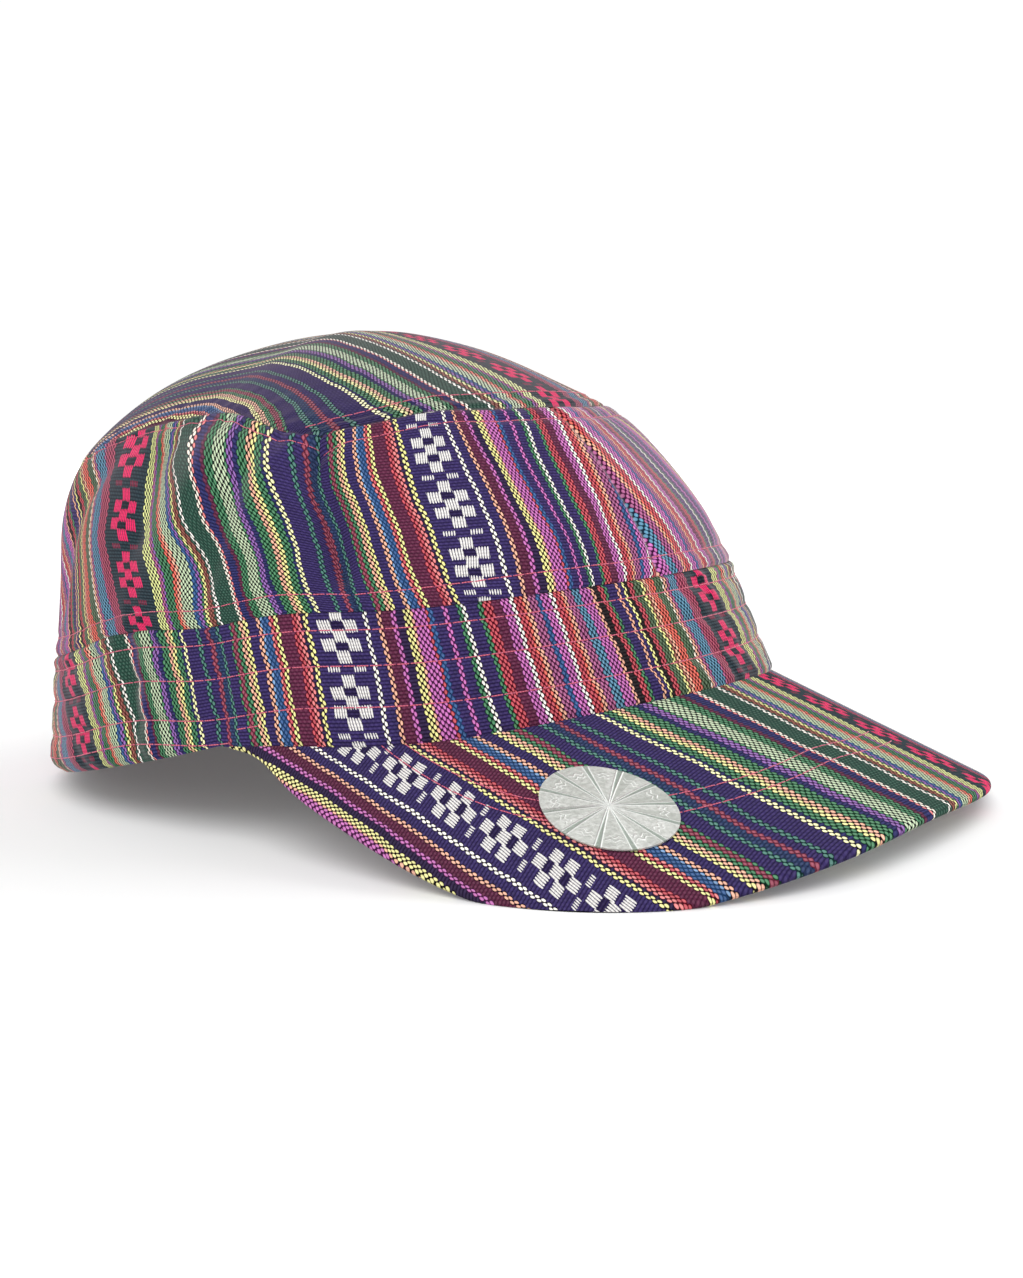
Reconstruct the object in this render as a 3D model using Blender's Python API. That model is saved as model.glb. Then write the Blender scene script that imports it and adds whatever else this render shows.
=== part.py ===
"""A five-panel woven camp cap with an arched peak, resting on the ground as it does by itself.

Metres, +Z up. The peak points along -Y and the wearer's right is -X. Every sub-part is worked
out in the cap's own frame, where the headband's back edge lies in the plane z = 0, and is then
tipped back until the peak's two low edges and the headband's back edge touch the ground.
"""
import math
from collections import namedtuple

import bmesh
import bpy
import numpy as np

# Headband, measured on its outside at the bottom edge
HAT_WIDTH = 0.180
HAT_LENGTH = 0.200
PLAN_POWER = 2.1
BAND_HEIGHT = 0.030
BAND_WALL = 0.0025
BAND_LEAN_FRONT = math.radians(14)
BAND_LEAN_SIDE = math.radians(6)
BAND_LEAN_BACK = math.radians(12)

# Crown panels
CROWN_HEIGHT = 0.107
CLOTH_WALL = 0.0016
SEAM_GAP = 0.0003
FOLD_DEPTH = 0.0030

# Peak
PEAK_CORNER = math.radians(75)
CORNER_LIFT = 0.009
CORNER_EASE = math.radians(50)
RISE_CENTRE = math.radians(78)
RISE_SPREAD = math.radians(20)
PEAK_WIDTH = 0.188
PEAK_LENGTH = 0.0565
PEAK_ARCH = 0.0286
PEAK_FALL = math.radians(27)
PEAK_FLARE_SHARE = 0.0172
PEAK_THICKNESS = 0.0026
ARCH_POWER = 2.3
SQUARE_POWER = 2.95
NOSE_POWER = 1.56
TUCK_POWER = 3.2

# Round sticker on the peak's top
STICKER_RADIUS = 0.0155
STICKER_THICKNESS = 0.0004
# Where its centre lies: a share of the half width, and a share of the peak's length
STICKER_SIDE_SHARE = 0.6
STICKER_AHEAD_SHARE = 0.221

# How far the soft edges flatten where the cap rests
SETTLE = 0.0006

# Crown sections: shares of the band's reach and of the rise to the crown's top, from the band
# seam (level 1) to the top (level 0), straight ahead, to the side and straight back.
CROWN_COLUMNS = ("level", "front_reach", "front_rise", "side_reach", "side_rise",
                 "back_reach", "back_rise")
CROWN_SECTIONS = np.array([
    (1.00, 1.000, 0.000, 1.000, 0.000, 1.000, 0.000),
    (0.86, 0.942, 0.209, 0.930, 0.160, 1.040, 0.370),
    (0.72, 0.830, 0.450, 0.860, 0.350, 1.045, 0.630),
    (0.58, 0.732, 0.587, 0.755, 0.530, 1.000, 0.800),
    (0.44, 0.558, 0.729, 0.590, 0.700, 0.820, 0.930),
    (0.28, 0.347, 0.861, 0.380, 0.865, 0.520, 1.005),
    (0.14, 0.155, 0.954, 0.175, 0.965, 0.240, 1.022),
    (0.00, 0.000, 1.000, 0.000, 1.000, 0.000, 1.000),
])

# Seams on the crown, in shares of the crown's disc: right of centre, ahead of centre. The disc's
# rim is the band seam. Every seam is mirrored for the left side.
FRONT_SEAM_SHARE = 0.582
FRONT_SEAM_POWER = 2.1
FRONT_PANEL_END = math.radians(51.5)
TAIL_END = math.radians(159)
TAIL_START_SHARE = 0.72
SEAM_CORNER = (0.478, 0.310)
SIDE_SEAM = np.array([SEAM_CORNER, (0.531, 0.334), (0.612, 0.385), (0.681, 0.470), (0.733, 0.540),
                      (math.sin(FRONT_PANEL_END), math.cos(FRONT_PANEL_END))])
TOP_SEAM = np.array([SEAM_CORNER, (0.495, 0.235), (0.474, 0.140), (0.440, 0.030), (0.408, -0.080),
                     (0.392, -0.200), (0.372, -0.330), (0.350, -0.520), (0.345, -0.720),
                     (math.sin(TAIL_END), math.cos(TAIL_END))])

# Dents and bulges of the soft crown: from one disc point to another, with a width as a share of
# the disc and a depth as a share of FOLD_DEPTH. A negative depth stands out.
Fold = namedtuple("Fold", "from_side from_ahead to_side to_ahead width depth")
FOLDS = [Fold(*row) for row in (
    (0.530, 0.335, 0.730, 0.540, 0.045, 0.90),
    (0.600, 0.270, 0.850, 0.420, 0.065, -0.60),
    (0.620, 0.180, 0.900, 0.200, 0.045, 0.55),
    (0.540, 0.060, 0.800, 0.060, 0.060, -0.45),
    (0.460, -0.050, 0.720, -0.160, 0.050, 0.85),
    (0.600, -0.250, 0.940, -0.180, 0.060, -0.50),
    (0.480, -0.330, 0.760, -0.500, 0.060, 0.70),
    (0.300, 0.480, 0.420, 0.860, 0.090, -0.35),
    (0.060, 0.860, 0.160, 0.980, 0.060, 0.60),
    (-0.530, 0.335, -0.730, 0.540, 0.045, 0.80),
    (-0.640, 0.200, -0.900, 0.240, 0.060, 0.50),
    (-0.560, 0.020, -0.860, -0.080, 0.070, -0.50),
    (-0.540, -0.200, -0.800, -0.380, 0.060, 0.75),
    (-0.300, 0.540, -0.400, 0.880, 0.090, -0.35),
    (0.000, -0.500, 0.060, -0.900, 0.110, 0.45),
)]
# The folds fade out over this share of the disc beside the band seam
FOLD_FADE_SHARE = 0.12
# From this level down, the wall's thickness turns level to meet the headband's
LEVEL_OFF_SHARE = 0.97

# How finely each piece is divided, across and up
FRONT_PANEL_STEPS = (14, 11)
SIDE_PANEL_STEPS = (24, 12)
TOP_PANEL_STEPS = (12, 24)
BAND_STEPS = (96, 2)
PEAK_STEPS = (40, 8)
STICKER_STEPS = (28, 4)
SHARP_EDGE = math.radians(40)

HALF_WIDTH = HAT_WIDTH / 2
HALF_LENGTH = HAT_LENGTH / 2


def plan_point(angle, inset=0.0):
    """Outline of the headband seen from above; angle 0 is the front, positive to the right."""
    side = np.sin(angle)
    ahead = np.cos(angle)
    x = -(HALF_WIDTH - inset) * np.sign(side) * np.abs(side) ** (2 / PLAN_POWER)
    y = -(HALF_LENGTH - inset) * np.sign(ahead) * np.abs(ahead) ** (2 / PLAN_POWER)
    return x, y


CORNER_X, CORNER_Y = plan_point(PEAK_CORNER)
CORNER_X = abs(CORNER_X)


def peak_height(x, y):
    """Height of the peak's top face: an arch that falls to both sides and towards the front."""
    drop = np.abs(x / CORNER_X) ** ARCH_POWER
    ahead = CORNER_Y - y
    slope = math.tan(PEAK_FALL) + PEAK_FLARE_SHARE * drop
    return CORNER_LIFT + PEAK_ARCH * (1 - drop) - ahead * slope


def turned_from_front(angle):
    """Angle from straight ahead, whichever side it is on."""
    return np.abs((angle + np.pi) % (2 * np.pi) - np.pi)


def band_bottom(angle, inset=0.0):
    """The headband's bottom edge: it follows the peak in front and lies flat behind."""
    x, y = plan_point(angle, inset)
    corner_x, corner_y = plan_point(PEAK_CORNER, inset)
    behind = np.clip((turned_from_front(angle) - PEAK_CORNER) / CORNER_EASE, 0, 1)
    ahead_z = peak_height(x, y) + SEAM_GAP
    back_z = (peak_height(corner_x, corner_y) + SEAM_GAP) * (1 - behind) ** 2
    z = np.where(turned_from_front(angle) < PEAK_CORNER, ahead_z, back_z)
    return np.stack([x, y, z], -1)


def band_top(angle, height=BAND_HEIGHT, inset=0.0):
    """The headband's top edge, leaning in over the bottom edge, with a soft rise over the corners."""
    outer = band_bottom(angle)
    rise = CORNER_LIFT * np.exp(-((turned_from_front(angle) - RISE_CENTRE) / RISE_SPREAD) ** 2)
    toward = np.where(np.cos(angle) > 0, BAND_LEAN_FRONT, BAND_LEAN_BACK)
    lean = BAND_LEAN_SIDE + (toward - BAND_LEAN_SIDE) * np.cos(angle) ** 4
    reach = np.hypot(outer[..., 0], outer[..., 1])
    share = 1 - (height * np.sin(lean) + inset) / reach
    return np.stack([outer[..., 0] * share, outer[..., 1] * share,
                     rise + height * np.cos(lean)], -1)


def section(column, level):
    """Smooth value of one crown column at a level, by cubic pieces between the rows."""
    levels = CROWN_SECTIONS[::-1, 0]
    values = CROWN_SECTIONS[::-1, CROWN_COLUMNS.index(column)]
    slopes = np.gradient(values, levels)
    low = np.clip(np.searchsorted(levels, level) - 1, 0, len(levels) - 2)
    span = levels[low + 1] - levels[low]
    t = (level - levels[low]) / span
    return ((2 * t ** 3 - 3 * t ** 2 + 1) * values[low] + (t ** 3 - 2 * t ** 2 + t) * span * slopes[low]
            + (3 * t ** 2 - 2 * t ** 3) * values[low + 1] + (t ** 3 - t ** 2) * span * slopes[low + 1])


def smooth_crown(side, ahead):
    """Point of the crown without its folds, from its place in the crown's disc."""
    level = np.hypot(side, ahead)
    angle = np.arctan2(side, ahead)
    front = np.where(ahead > 0, np.cos(angle) ** 2, 0)
    back = np.where(ahead > 0, 0, np.cos(angle) ** 2)
    flank = np.sin(angle) ** 2
    reach = (front * section("front_reach", level) + flank * section("side_reach", level)
             + back * section("back_reach", level))
    rise = (front * section("front_rise", level) + flank * section("side_rise", level)
            + back * section("back_rise", level))
    seam = band_top(angle)
    return np.stack([seam[..., 0] * reach, seam[..., 1] * reach,
                     seam[..., 2] * (1 - rise) + CROWN_HEIGHT * rise], -1)


def crown_normal(side, ahead, step=1e-4):
    """Outward normal of the smooth crown at a place in its disc."""
    along_side = smooth_crown(side + step, ahead) - smooth_crown(side - step, ahead)
    along_ahead = smooth_crown(side, ahead + step) - smooth_crown(side, ahead - step)
    normal = np.cross(along_side, along_ahead)
    return normal / np.linalg.norm(normal, axis=-1, keepdims=True)


def fold_depth(side, ahead):
    """How far the folds push the crown in at a place in its disc; nothing at the band seam."""
    total = np.zeros_like(side)
    for fold in FOLDS:
        run_side = fold.to_side - fold.from_side
        run_ahead = fold.to_ahead - fold.from_ahead
        along = (side - fold.from_side) * run_side + (ahead - fold.from_ahead) * run_ahead
        along = np.clip(along / (run_side ** 2 + run_ahead ** 2), 0, 1)
        off_side = side - fold.from_side - along * run_side
        off_ahead = ahead - fold.from_ahead - along * run_ahead
        away = np.hypot(off_side, off_ahead)
        total = total + fold.depth * FOLD_DEPTH * np.exp(-(away / fold.width) ** 2)
    rim = np.clip((1 - np.hypot(side, ahead)) / FOLD_FADE_SHARE, 0, 1)
    return total * rim * rim * (3 - 2 * rim)


def crown_shell(side, ahead):
    """Outer and inner points of the crown's wall at places in its disc."""
    normal = crown_normal(side, ahead)
    outer = smooth_crown(side, ahead) - normal * fold_depth(side, ahead)[..., None]
    level_off = np.clip((np.hypot(side, ahead) - LEVEL_OFF_SHARE) / (1 - LEVEL_OFF_SHARE), 0, 1)[..., None]
    flat = normal * np.array([1, 1, 0])
    flat = flat / np.linalg.norm(flat, axis=-1, keepdims=True)
    inward = normal * (1 - level_off) + flat * level_off
    inward = inward / np.linalg.norm(inward, axis=-1, keepdims=True)
    return outer, outer - inward * CLOTH_WALL


def along_points(points, share):
    """Places along a chain of points, smoothed, by share of its length."""
    share = np.atleast_1d(share)
    steps = np.r_[0, np.cumsum(np.linalg.norm(np.diff(points, axis=0), axis=1))]
    steps = steps / steps[-1]
    slopes = np.gradient(points, steps, axis=0)
    low = np.clip(np.searchsorted(steps, share) - 1, 0, len(steps) - 2)
    span = (steps[low + 1] - steps[low])[:, None]
    t = ((share - steps[low])[:, None]) / span
    return ((2 * t ** 3 - 3 * t ** 2 + 1) * points[low] + (t ** 3 - 2 * t ** 2 + t) * span * slopes[low]
            + (3 * t ** 2 - 2 * t ** 3) * points[low + 1] + (t ** 3 - t ** 2) * span * slopes[low + 1])


def rim_arc(start, end, share):
    """Places on the disc's rim, the band seam, between two angles."""
    angle = start + (end - start) * share
    return np.stack([np.sin(angle), np.cos(angle)], -1)


def front_seam(share):
    """The seam between a front panel and the top panel, from the centre to the corner."""
    side = SEAM_CORNER[0] * share
    fall = FRONT_SEAM_SHARE - SEAM_CORNER[1]
    return np.stack([side, FRONT_SEAM_SHARE - fall * share ** FRONT_SEAM_POWER], -1)


def centre_seam(share):
    """The centre-front seam, from the band up to the top panel."""
    return np.stack([np.zeros_like(share), 1 + (FRONT_SEAM_SHARE - 1) * share], -1)


def patch(low, high, left, right):
    """Grid of disc places between four seams, each given by its own evenly spaced places."""
    uu = np.linspace(0, 1, len(low))[None, :, None]
    vv = np.linspace(0, 1, len(left))[:, None, None]
    ruled = (1 - vv) * low[None] + vv * high[None] + (1 - uu) * left[:, None] + uu * right[:, None]
    corners = ((1 - uu) * (1 - vv) * low[0] + uu * (1 - vv) * low[-1]
               + (1 - uu) * vv * high[0] + uu * vv * high[-1])
    return ruled - corners


def inset_rows(places):
    """Move a grid's first and last rows in by half the seam gap, measured on the crown."""
    places = places.copy()
    for row, inner in ((0, 1), (-1, -2)):
        edge, next_in = places[row], places[inner]
        spacing = np.linalg.norm(smooth_crown(*edge.T) - smooth_crown(*next_in.T), axis=-1)
        places[row] = edge + (next_in - edge) * (SEAM_GAP / 2 / spacing)[:, None]
    return places


def inset_grid(places):
    """Move all four borders of a grid in by half the seam gap."""
    places = inset_rows(places)
    return inset_rows(places.transpose(1, 0, 2)).transpose(1, 0, 2)


def tipped(points, tilt):
    """Points turned about the X axis so that the cap's back goes down."""
    y = points[..., 1] * math.cos(tilt) + points[..., 2] * math.sin(tilt)
    z = points[..., 2] * math.cos(tilt) - points[..., 1] * math.sin(tilt)
    return np.stack([points[..., 0], y, z], -1)


def peak_edge(share):
    """The peak's outer edge in plan, from its right corner (0) round the front to the left (1)."""
    turn = np.pi * share
    along = np.cos(turn)
    tuck = np.abs(along) ** TUCK_POWER
    wide = PEAK_WIDTH / 2 * np.abs(along) ** (2 / SQUARE_POWER)
    x = -np.sign(along) * (wide * (1 - tuck) + CORNER_X * tuck)
    reach = HALF_LENGTH + PEAK_LENGTH + CORNER_Y
    y = CORNER_Y - reach * np.sin(turn).clip(0) ** (2 / NOSE_POWER)
    return x, y


def peak_faces(x, y, step=1e-4):
    """Top and bottom points of the peak over places in plan."""
    slope_x = (peak_height(x + step, y) - peak_height(x - step, y)) / (2 * step)
    slope_y = (peak_height(x, y + step) - peak_height(x, y - step)) / (2 * step)
    normal = np.stack([-slope_x, -slope_y, np.ones_like(x)], -1)
    normal = normal / np.linalg.norm(normal, axis=-1, keepdims=True)
    top = np.stack([x, y, peak_height(x, y)], -1)
    return top, top - normal * PEAK_THICKNESS, normal


def resting_place():
    """Tilt, and the shift after it, that set the cap on the ground with its box centred."""
    share = np.linspace(0, 1, 181)
    under = peak_faces(*peak_edge(share))[1]
    rear = band_bottom(np.linspace(PEAK_CORNER, np.pi, 91))
    low, high = 0.0, math.radians(30)
    for _ in range(40):
        tilt = (low + high) / 2
        if tipped(under, tilt)[:, 2].min() < tipped(rear, tilt)[:, 2].min():
            low = tilt
        else:
            high = tilt
    back = tipped(smooth_crown(np.zeros(41), -np.linspace(0.3, 1, 41)), tilt)[:, 1].max()
    back = max(back, tipped(rear, tilt)[:, 1].max())
    front = min(tipped(under, tilt)[:, 1].min(), tipped(peak_faces(*peak_edge(share))[0], tilt)[:, 1].min())
    ground = tipped(rear, tilt)[:, 2].min() + SETTLE
    return tilt, np.array([0, -(front + back) / 2, -ground])


TILT, SHIFT = resting_place()


def settled(points):
    """Points of the cap's own frame set down on the ground, flattened where they touch it."""
    placed = tipped(points, TILT) + SHIFT
    placed[..., 2] = np.maximum(placed[..., 2], 0)
    return placed


def add_solid(name, outer, inner, material, closed=False):
    """One closed wall between two grids of points; closed joins the last column to the first."""
    rows, columns = outer.shape[:2]
    mesh = bpy.data.meshes.new(name)
    shell = bmesh.new()
    faces_of = []
    for grid in (settled(outer), settled(inner)):
        faces_of.append([[shell.verts.new(point) for point in row] for row in grid])
    out, back = faces_of
    last = columns if closed else columns - 1
    for i in range(rows - 1):
        for j in range(last):
            k = (j + 1) % columns
            shell.faces.new((out[i][j], out[i][k], out[i + 1][k], out[i + 1][j]))
            shell.faces.new((back[i + 1][j], back[i + 1][k], back[i][k], back[i][j]))
    for j in range(last):
        k = (j + 1) % columns
        shell.faces.new((back[0][j], back[0][k], out[0][k], out[0][j]))
        shell.faces.new((out[-1][j], out[-1][k], back[-1][k], back[-1][j]))
    if not closed:
        for i in range(rows - 1):
            shell.faces.new((out[i][0], out[i + 1][0], back[i + 1][0], back[i][0]))
            shell.faces.new((back[i][-1], back[i + 1][-1], out[i + 1][-1], out[i][-1]))
    bmesh.ops.recalc_face_normals(shell, faces=shell.faces)
    bmesh.ops.triangulate(shell, faces=shell.faces)
    shell.to_mesh(mesh)
    shell.free()
    mesh.materials.append(material)
    mesh.shade_smooth()
    mesh.set_sharp_from_angle(angle=SHARP_EDGE)
    piece = bpy.data.objects.new(name, mesh)
    bpy.context.scene.collection.objects.link(piece)
    return piece


def finish(name, color, roughness, metallic=0.0):
    """A plain finish with the piece's own colour."""
    material = bpy.data.materials.new(name)
    material.use_nodes = True
    shader = material.node_tree.nodes["Principled BSDF"]
    shader.inputs["Base Color"].default_value = (*color, 1)
    shader.inputs["Roughness"].default_value = roughness
    shader.inputs["Metallic"].default_value = metallic
    return material


def add_crown_panels():
    """Two front panels, two side panels and the top panel that runs down the back."""
    cloth = finish("crown_cloth", (0.22, 0.08, 0.22), 0.9)
    mirror = np.array([-1, 1])

    across, up = (np.linspace(0, 1, steps + 1) for steps in FRONT_PANEL_STEPS)
    front = patch(rim_arc(0, FRONT_PANEL_END, across), front_seam(across), centre_seam(up),
                  along_points(SIDE_SEAM, 1 - up))

    across, up = (np.linspace(0, 1, steps + 1) for steps in SIDE_PANEL_STEPS)
    flank = patch(rim_arc(FRONT_PANEL_END, TAIL_END, across),
                  along_points(TOP_SEAM, TAIL_START_SHARE * across),
                  along_points(SIDE_SEAM, 1 - up),
                  along_points(TOP_SEAM, 1 - (1 - TAIL_START_SHARE) * up))

    across, along = (np.linspace(0, 1, steps + 1) for steps in TOP_PANEL_STEPS)
    whole_front = front_seam(np.abs(2 * across - 1))
    whole_front[across < 0.5] *= mirror
    top = patch(whole_front, rim_arc(-TAIL_END, TAIL_END - 2 * np.pi, across),
                mirror * along_points(TOP_SEAM, along), along_points(TOP_SEAM, along))

    for name, places in (("front_panel_right", front), ("front_panel_left", front * mirror),
                         ("side_panel_right", flank), ("side_panel_left", flank * mirror),
                         ("top_panel", top)):
        places = inset_grid(places)
        outer, inner = crown_shell(places[..., 0], places[..., 1])
        add_solid(name, outer, inner, cloth)


def add_headband():
    """The ring of folded cloth round the opening, under the crown and over the peak."""
    angle = np.linspace(0, 2 * np.pi, BAND_STEPS[0] + 1)[:-1]
    top_height = BAND_HEIGHT - SEAM_GAP / 2
    low_out, low_in = band_bottom(angle), band_bottom(angle, BAND_WALL)
    high_out, high_in = band_top(angle, top_height), band_top(angle, top_height, BAND_WALL)
    share = np.linspace(0, 1, BAND_STEPS[1] + 1)[:, None, None]
    add_solid("headband", low_out + (high_out - low_out) * share, low_in + (high_in - low_in) * share,
              finish("band_cloth", (0.26, 0.08, 0.12), 0.9), closed=True)


def add_peak():
    """The arched board covered in cloth, with its root under the headband."""
    share = np.linspace(0, 1, PEAK_STEPS[0] + 1)
    root_x, root_y = plan_point(PEAK_CORNER * (1 - 2 * share), BAND_WALL)
    edge_x, edge_y = peak_edge(share)
    ahead = np.linspace(0, 1, PEAK_STEPS[1] + 1)[:, None]
    top, bottom, _ = peak_faces(root_x + (edge_x - root_x) * ahead, root_y + (edge_y - root_y) * ahead)
    add_solid("peak", top, bottom, finish("peak_cloth", (0.14, 0.06, 0.16), 0.9))


def add_sticker():
    """The thin silver disc stuck on the peak, bent to its arch."""
    turn = np.linspace(0, 2 * np.pi, STICKER_STEPS[0] + 1)[:-1]
    ring = np.linspace(1, 0, STICKER_STEPS[1] + 1)[:-1, None]
    centre_x = np.array(-HALF_WIDTH * STICKER_SIDE_SHARE)
    centre_y = np.array(-HALF_LENGTH - PEAK_LENGTH * STICKER_AHEAD_SHARE)
    tilt_x, tilt_y = (abs(part) for part in peak_faces(centre_x, centre_y)[2][:2])
    x = centre_x + STICKER_RADIUS * math.sqrt(1 - tilt_x ** 2) * ring * np.cos(turn)
    y = centre_y + STICKER_RADIUS * math.sqrt(1 - tilt_y ** 2) * ring * np.sin(turn)
    face, _, normal = peak_faces(x, y)
    low, high = face + normal * SEAM_GAP, face + normal * (SEAM_GAP + STICKER_THICKNESS)
    add_disc("peak_sticker", high, low, finish("silver_foil", (0.62, 0.63, 0.58), 0.35, 0.6))


def add_disc(name, high, low, material):
    """A closed thin disc from two sets of rings, each with a fan in its middle."""
    mesh = bpy.data.meshes.new(name)
    shell = bmesh.new()
    rims = []
    for rings in (settled(high), settled(low)):
        loops = [[shell.verts.new(point) for point in ring] for ring in rings]
        centre = shell.verts.new(rings[-1].mean(0))
        count = len(loops[0])
        for i in range(count):
            k = (i + 1) % count
            for outer_ring, inner_ring in zip(loops, loops[1:]):
                shell.faces.new((outer_ring[i], outer_ring[k], inner_ring[k], inner_ring[i]))
            shell.faces.new((loops[-1][i], loops[-1][k], centre))
        rims.append(loops[0])
    for i in range(count):
        k = (i + 1) % count
        shell.faces.new((rims[0][i], rims[1][i], rims[1][k], rims[0][k]))
    bmesh.ops.recalc_face_normals(shell, faces=shell.faces)
    bmesh.ops.triangulate(shell, faces=shell.faces)
    shell.to_mesh(mesh)
    shell.free()
    mesh.materials.append(material)
    mesh.shade_smooth()
    mesh.set_sharp_from_angle(angle=SHARP_EDGE)
    bpy.context.scene.collection.objects.link(bpy.data.objects.new(name, mesh))


for old in list(bpy.data.objects):
    bpy.data.objects.remove(old, do_unlink=True)
add_headband()
add_peak()
add_crown_panels()
add_sticker()
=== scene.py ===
"""A five-panel camp cap in striped brocade cotton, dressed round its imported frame.

Metres, +Z up. The peak points along -Y and the wearer's right is -X. Each piece is worked out
in the cap's own frame, where the headband's back edge lies in the plane z = 0, and is then
tipped back and set down on the ground, as the frame is.
"""
import math

import bpy
import numpy as np
from mathutils import Matrix, Vector


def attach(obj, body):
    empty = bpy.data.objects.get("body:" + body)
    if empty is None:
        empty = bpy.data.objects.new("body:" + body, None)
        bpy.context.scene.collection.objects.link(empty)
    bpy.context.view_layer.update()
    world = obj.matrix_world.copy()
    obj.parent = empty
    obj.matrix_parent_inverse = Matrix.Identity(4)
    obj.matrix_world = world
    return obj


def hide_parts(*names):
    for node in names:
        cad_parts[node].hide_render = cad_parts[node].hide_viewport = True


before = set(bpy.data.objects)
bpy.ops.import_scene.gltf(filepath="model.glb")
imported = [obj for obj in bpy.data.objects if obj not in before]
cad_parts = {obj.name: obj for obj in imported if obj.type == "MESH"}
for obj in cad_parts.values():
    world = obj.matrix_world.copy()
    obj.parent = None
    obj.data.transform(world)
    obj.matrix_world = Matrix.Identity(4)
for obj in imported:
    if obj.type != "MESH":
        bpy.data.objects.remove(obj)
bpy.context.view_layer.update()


# The peak: a thin arched board covered above and below in the striped cloth, its stripes running
# from the headband to the front edge. Its root is sewn in under the headband.
HAT_WIDTH = 0.180
HAT_LENGTH = 0.200
PLAN_POWER = 2.1
BAND_WALL = 0.0025
PEAK_CORNER = math.radians(75)
CORNER_LIFT = 0.009
CORNER_PULL = 0.0040
CORNER_PULL_LENGTH = 0.022
CORNER_PULL_START = 0.074
CORNER_PULL_EASE = 0.013
PEAK_WIDTH = 0.188
PEAK_LENGTH = 0.0565
PEAK_ARCH = 0.0286
PEAK_FALL = math.radians(27)
PEAK_FLARE_SHARE = 0.0172
PEAK_THICKNESS = 0.0026
ARCH_POWER = 2.3
SQUARE_POWER = 2.95
NOSE_POWER = 1.56
TUCK_POWER = 3.2
# Worn a little out of true: spread wide at the right front and tucked in at the right corner, each
# as its middle and width in shares of the edge, and its depth
EDGE_SPREADS = ((0.28, 0.10, 0.0031), (0.045, 0.035, -0.0022))
END_LIFT = 0.0012
END_LIFT_SHARE = 0.012
TILT = math.radians(8.2828)
SHIFT = np.array([0, 0.02527223, 0.01380597])
GROUND_GAP = 0.0001
PEAK_MESH = (250, 76)
PEAK_CROWDING = 1.7
PEAK_SKEW = -0.1
# The place across the cloth, by the distance from the middle along the arch, both in millimetres
PEAK_LAY = ((-95, -83, -68.6, -58.5, -30, 0, 35, 95),
            (124.0, 111.2, 97.3, 87.0, 63.0, 41.0, 7.0, -52.0))


def hump(place, middle, width):
    """A soft hump: 1 in the middle, and nothing far from it."""
    return np.exp(-((place - middle) / width) ** 2)


def plan_point(angle, inset=0.0):
    """Outline of the headband seen from above; angle 0 is the front, positive to the right."""
    side = np.sin(angle)
    ahead = np.cos(angle)
    x = -(HAT_WIDTH / 2 - inset) * np.sign(side) * np.abs(side) ** (2 / PLAN_POWER)
    y = -(HAT_LENGTH / 2 - inset) * np.sign(ahead) * np.abs(ahead) ** (2 / PLAN_POWER)
    return x, y


CORNER_X, CORNER_Y = plan_point(PEAK_CORNER)
CORNER_X = abs(CORNER_X)


def peak_height(x, y):
    """Height of the peak's top face: an arch that falls to both sides and towards the front."""
    drop = np.abs(x / CORNER_X) ** ARCH_POWER
    slope = math.tan(PEAK_FALL) + PEAK_FLARE_SHARE * drop
    # The cloth pulls the two ends down where they go in under the headband
    pulled = np.clip((np.abs(x) - CORNER_PULL_START) / CORNER_PULL_EASE, 0, 1.2) ** 2
    pulled = pulled * hump(y, CORNER_Y, CORNER_PULL_LENGTH)
    return CORNER_LIFT + PEAK_ARCH * (1 - drop) - (CORNER_Y - y) * slope - CORNER_PULL * pulled


def peak_edge(share):
    """The peak's outer edge in plan, from its right corner (0) round the front to the left (1)."""
    along = np.cos(np.pi * share)
    tuck = np.abs(along) ** TUCK_POWER
    wide = PEAK_WIDTH / 2 * np.abs(along) ** (2 / SQUARE_POWER)
    x = -np.sign(along) * (wide * (1 - tuck) + CORNER_X * tuck)
    reach = HAT_LENGTH / 2 + PEAK_LENGTH + CORNER_Y
    y = CORNER_Y - reach * np.sin(np.pi * share).clip(0) ** (2 / NOSE_POWER)
    spread = sum(depth * hump(share, middle, width) for middle, width, depth in EDGE_SPREADS)
    across = x[2:] - x[:-2]
    ahead = y[2:] - y[:-2]
    length = np.hypot(across, ahead)
    x = x + np.pad(ahead / length, 1) * spread
    y = y - np.pad(across / length, 1) * spread
    return x, y


def peak_normal(x, y, step=1e-4):
    """Upward normal of the peak's top face over places in plan."""
    slope_x = (peak_height(x + step, y) - peak_height(x - step, y)) / (2 * step)
    slope_y = (peak_height(x, y + step) - peak_height(x, y - step)) / (2 * step)
    normal = np.stack([-slope_x, -slope_y, np.ones_like(x)], -1)
    return normal / np.linalg.norm(normal, axis=-1, keepdims=True)


def set_down(points):
    """Points of the cap's own frame tipped back and set on the ground."""
    y = points[..., 1] * math.cos(TILT) + points[..., 2] * math.sin(TILT)
    z = points[..., 2] * math.cos(TILT) - points[..., 1] * math.sin(TILT)
    placed = np.stack([points[..., 0], y, z], -1) + SHIFT
    placed[..., 2] = np.maximum(placed[..., 2], GROUND_GAP)
    return placed


def smooth_between(stops, values, place):
    """A smooth curve through a short table of values, read at many places."""
    stops = np.asarray(stops, float)
    values = np.asarray(values, float)
    slopes = np.gradient(values, stops)
    low = np.clip(np.searchsorted(stops, place) - 1, 0, len(stops) - 2)
    span = stops[low + 1] - stops[low]
    t = (place - stops[low]) / span
    return ((2 * t ** 3 - 3 * t ** 2 + 1) * values[low] + (t ** 3 - 2 * t ** 2 + t) * span * slopes[low]
            + (3 * t ** 2 - 2 * t ** 3) * values[low + 1] + (t ** 3 - t ** 2) * span * slopes[low + 1])


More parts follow.
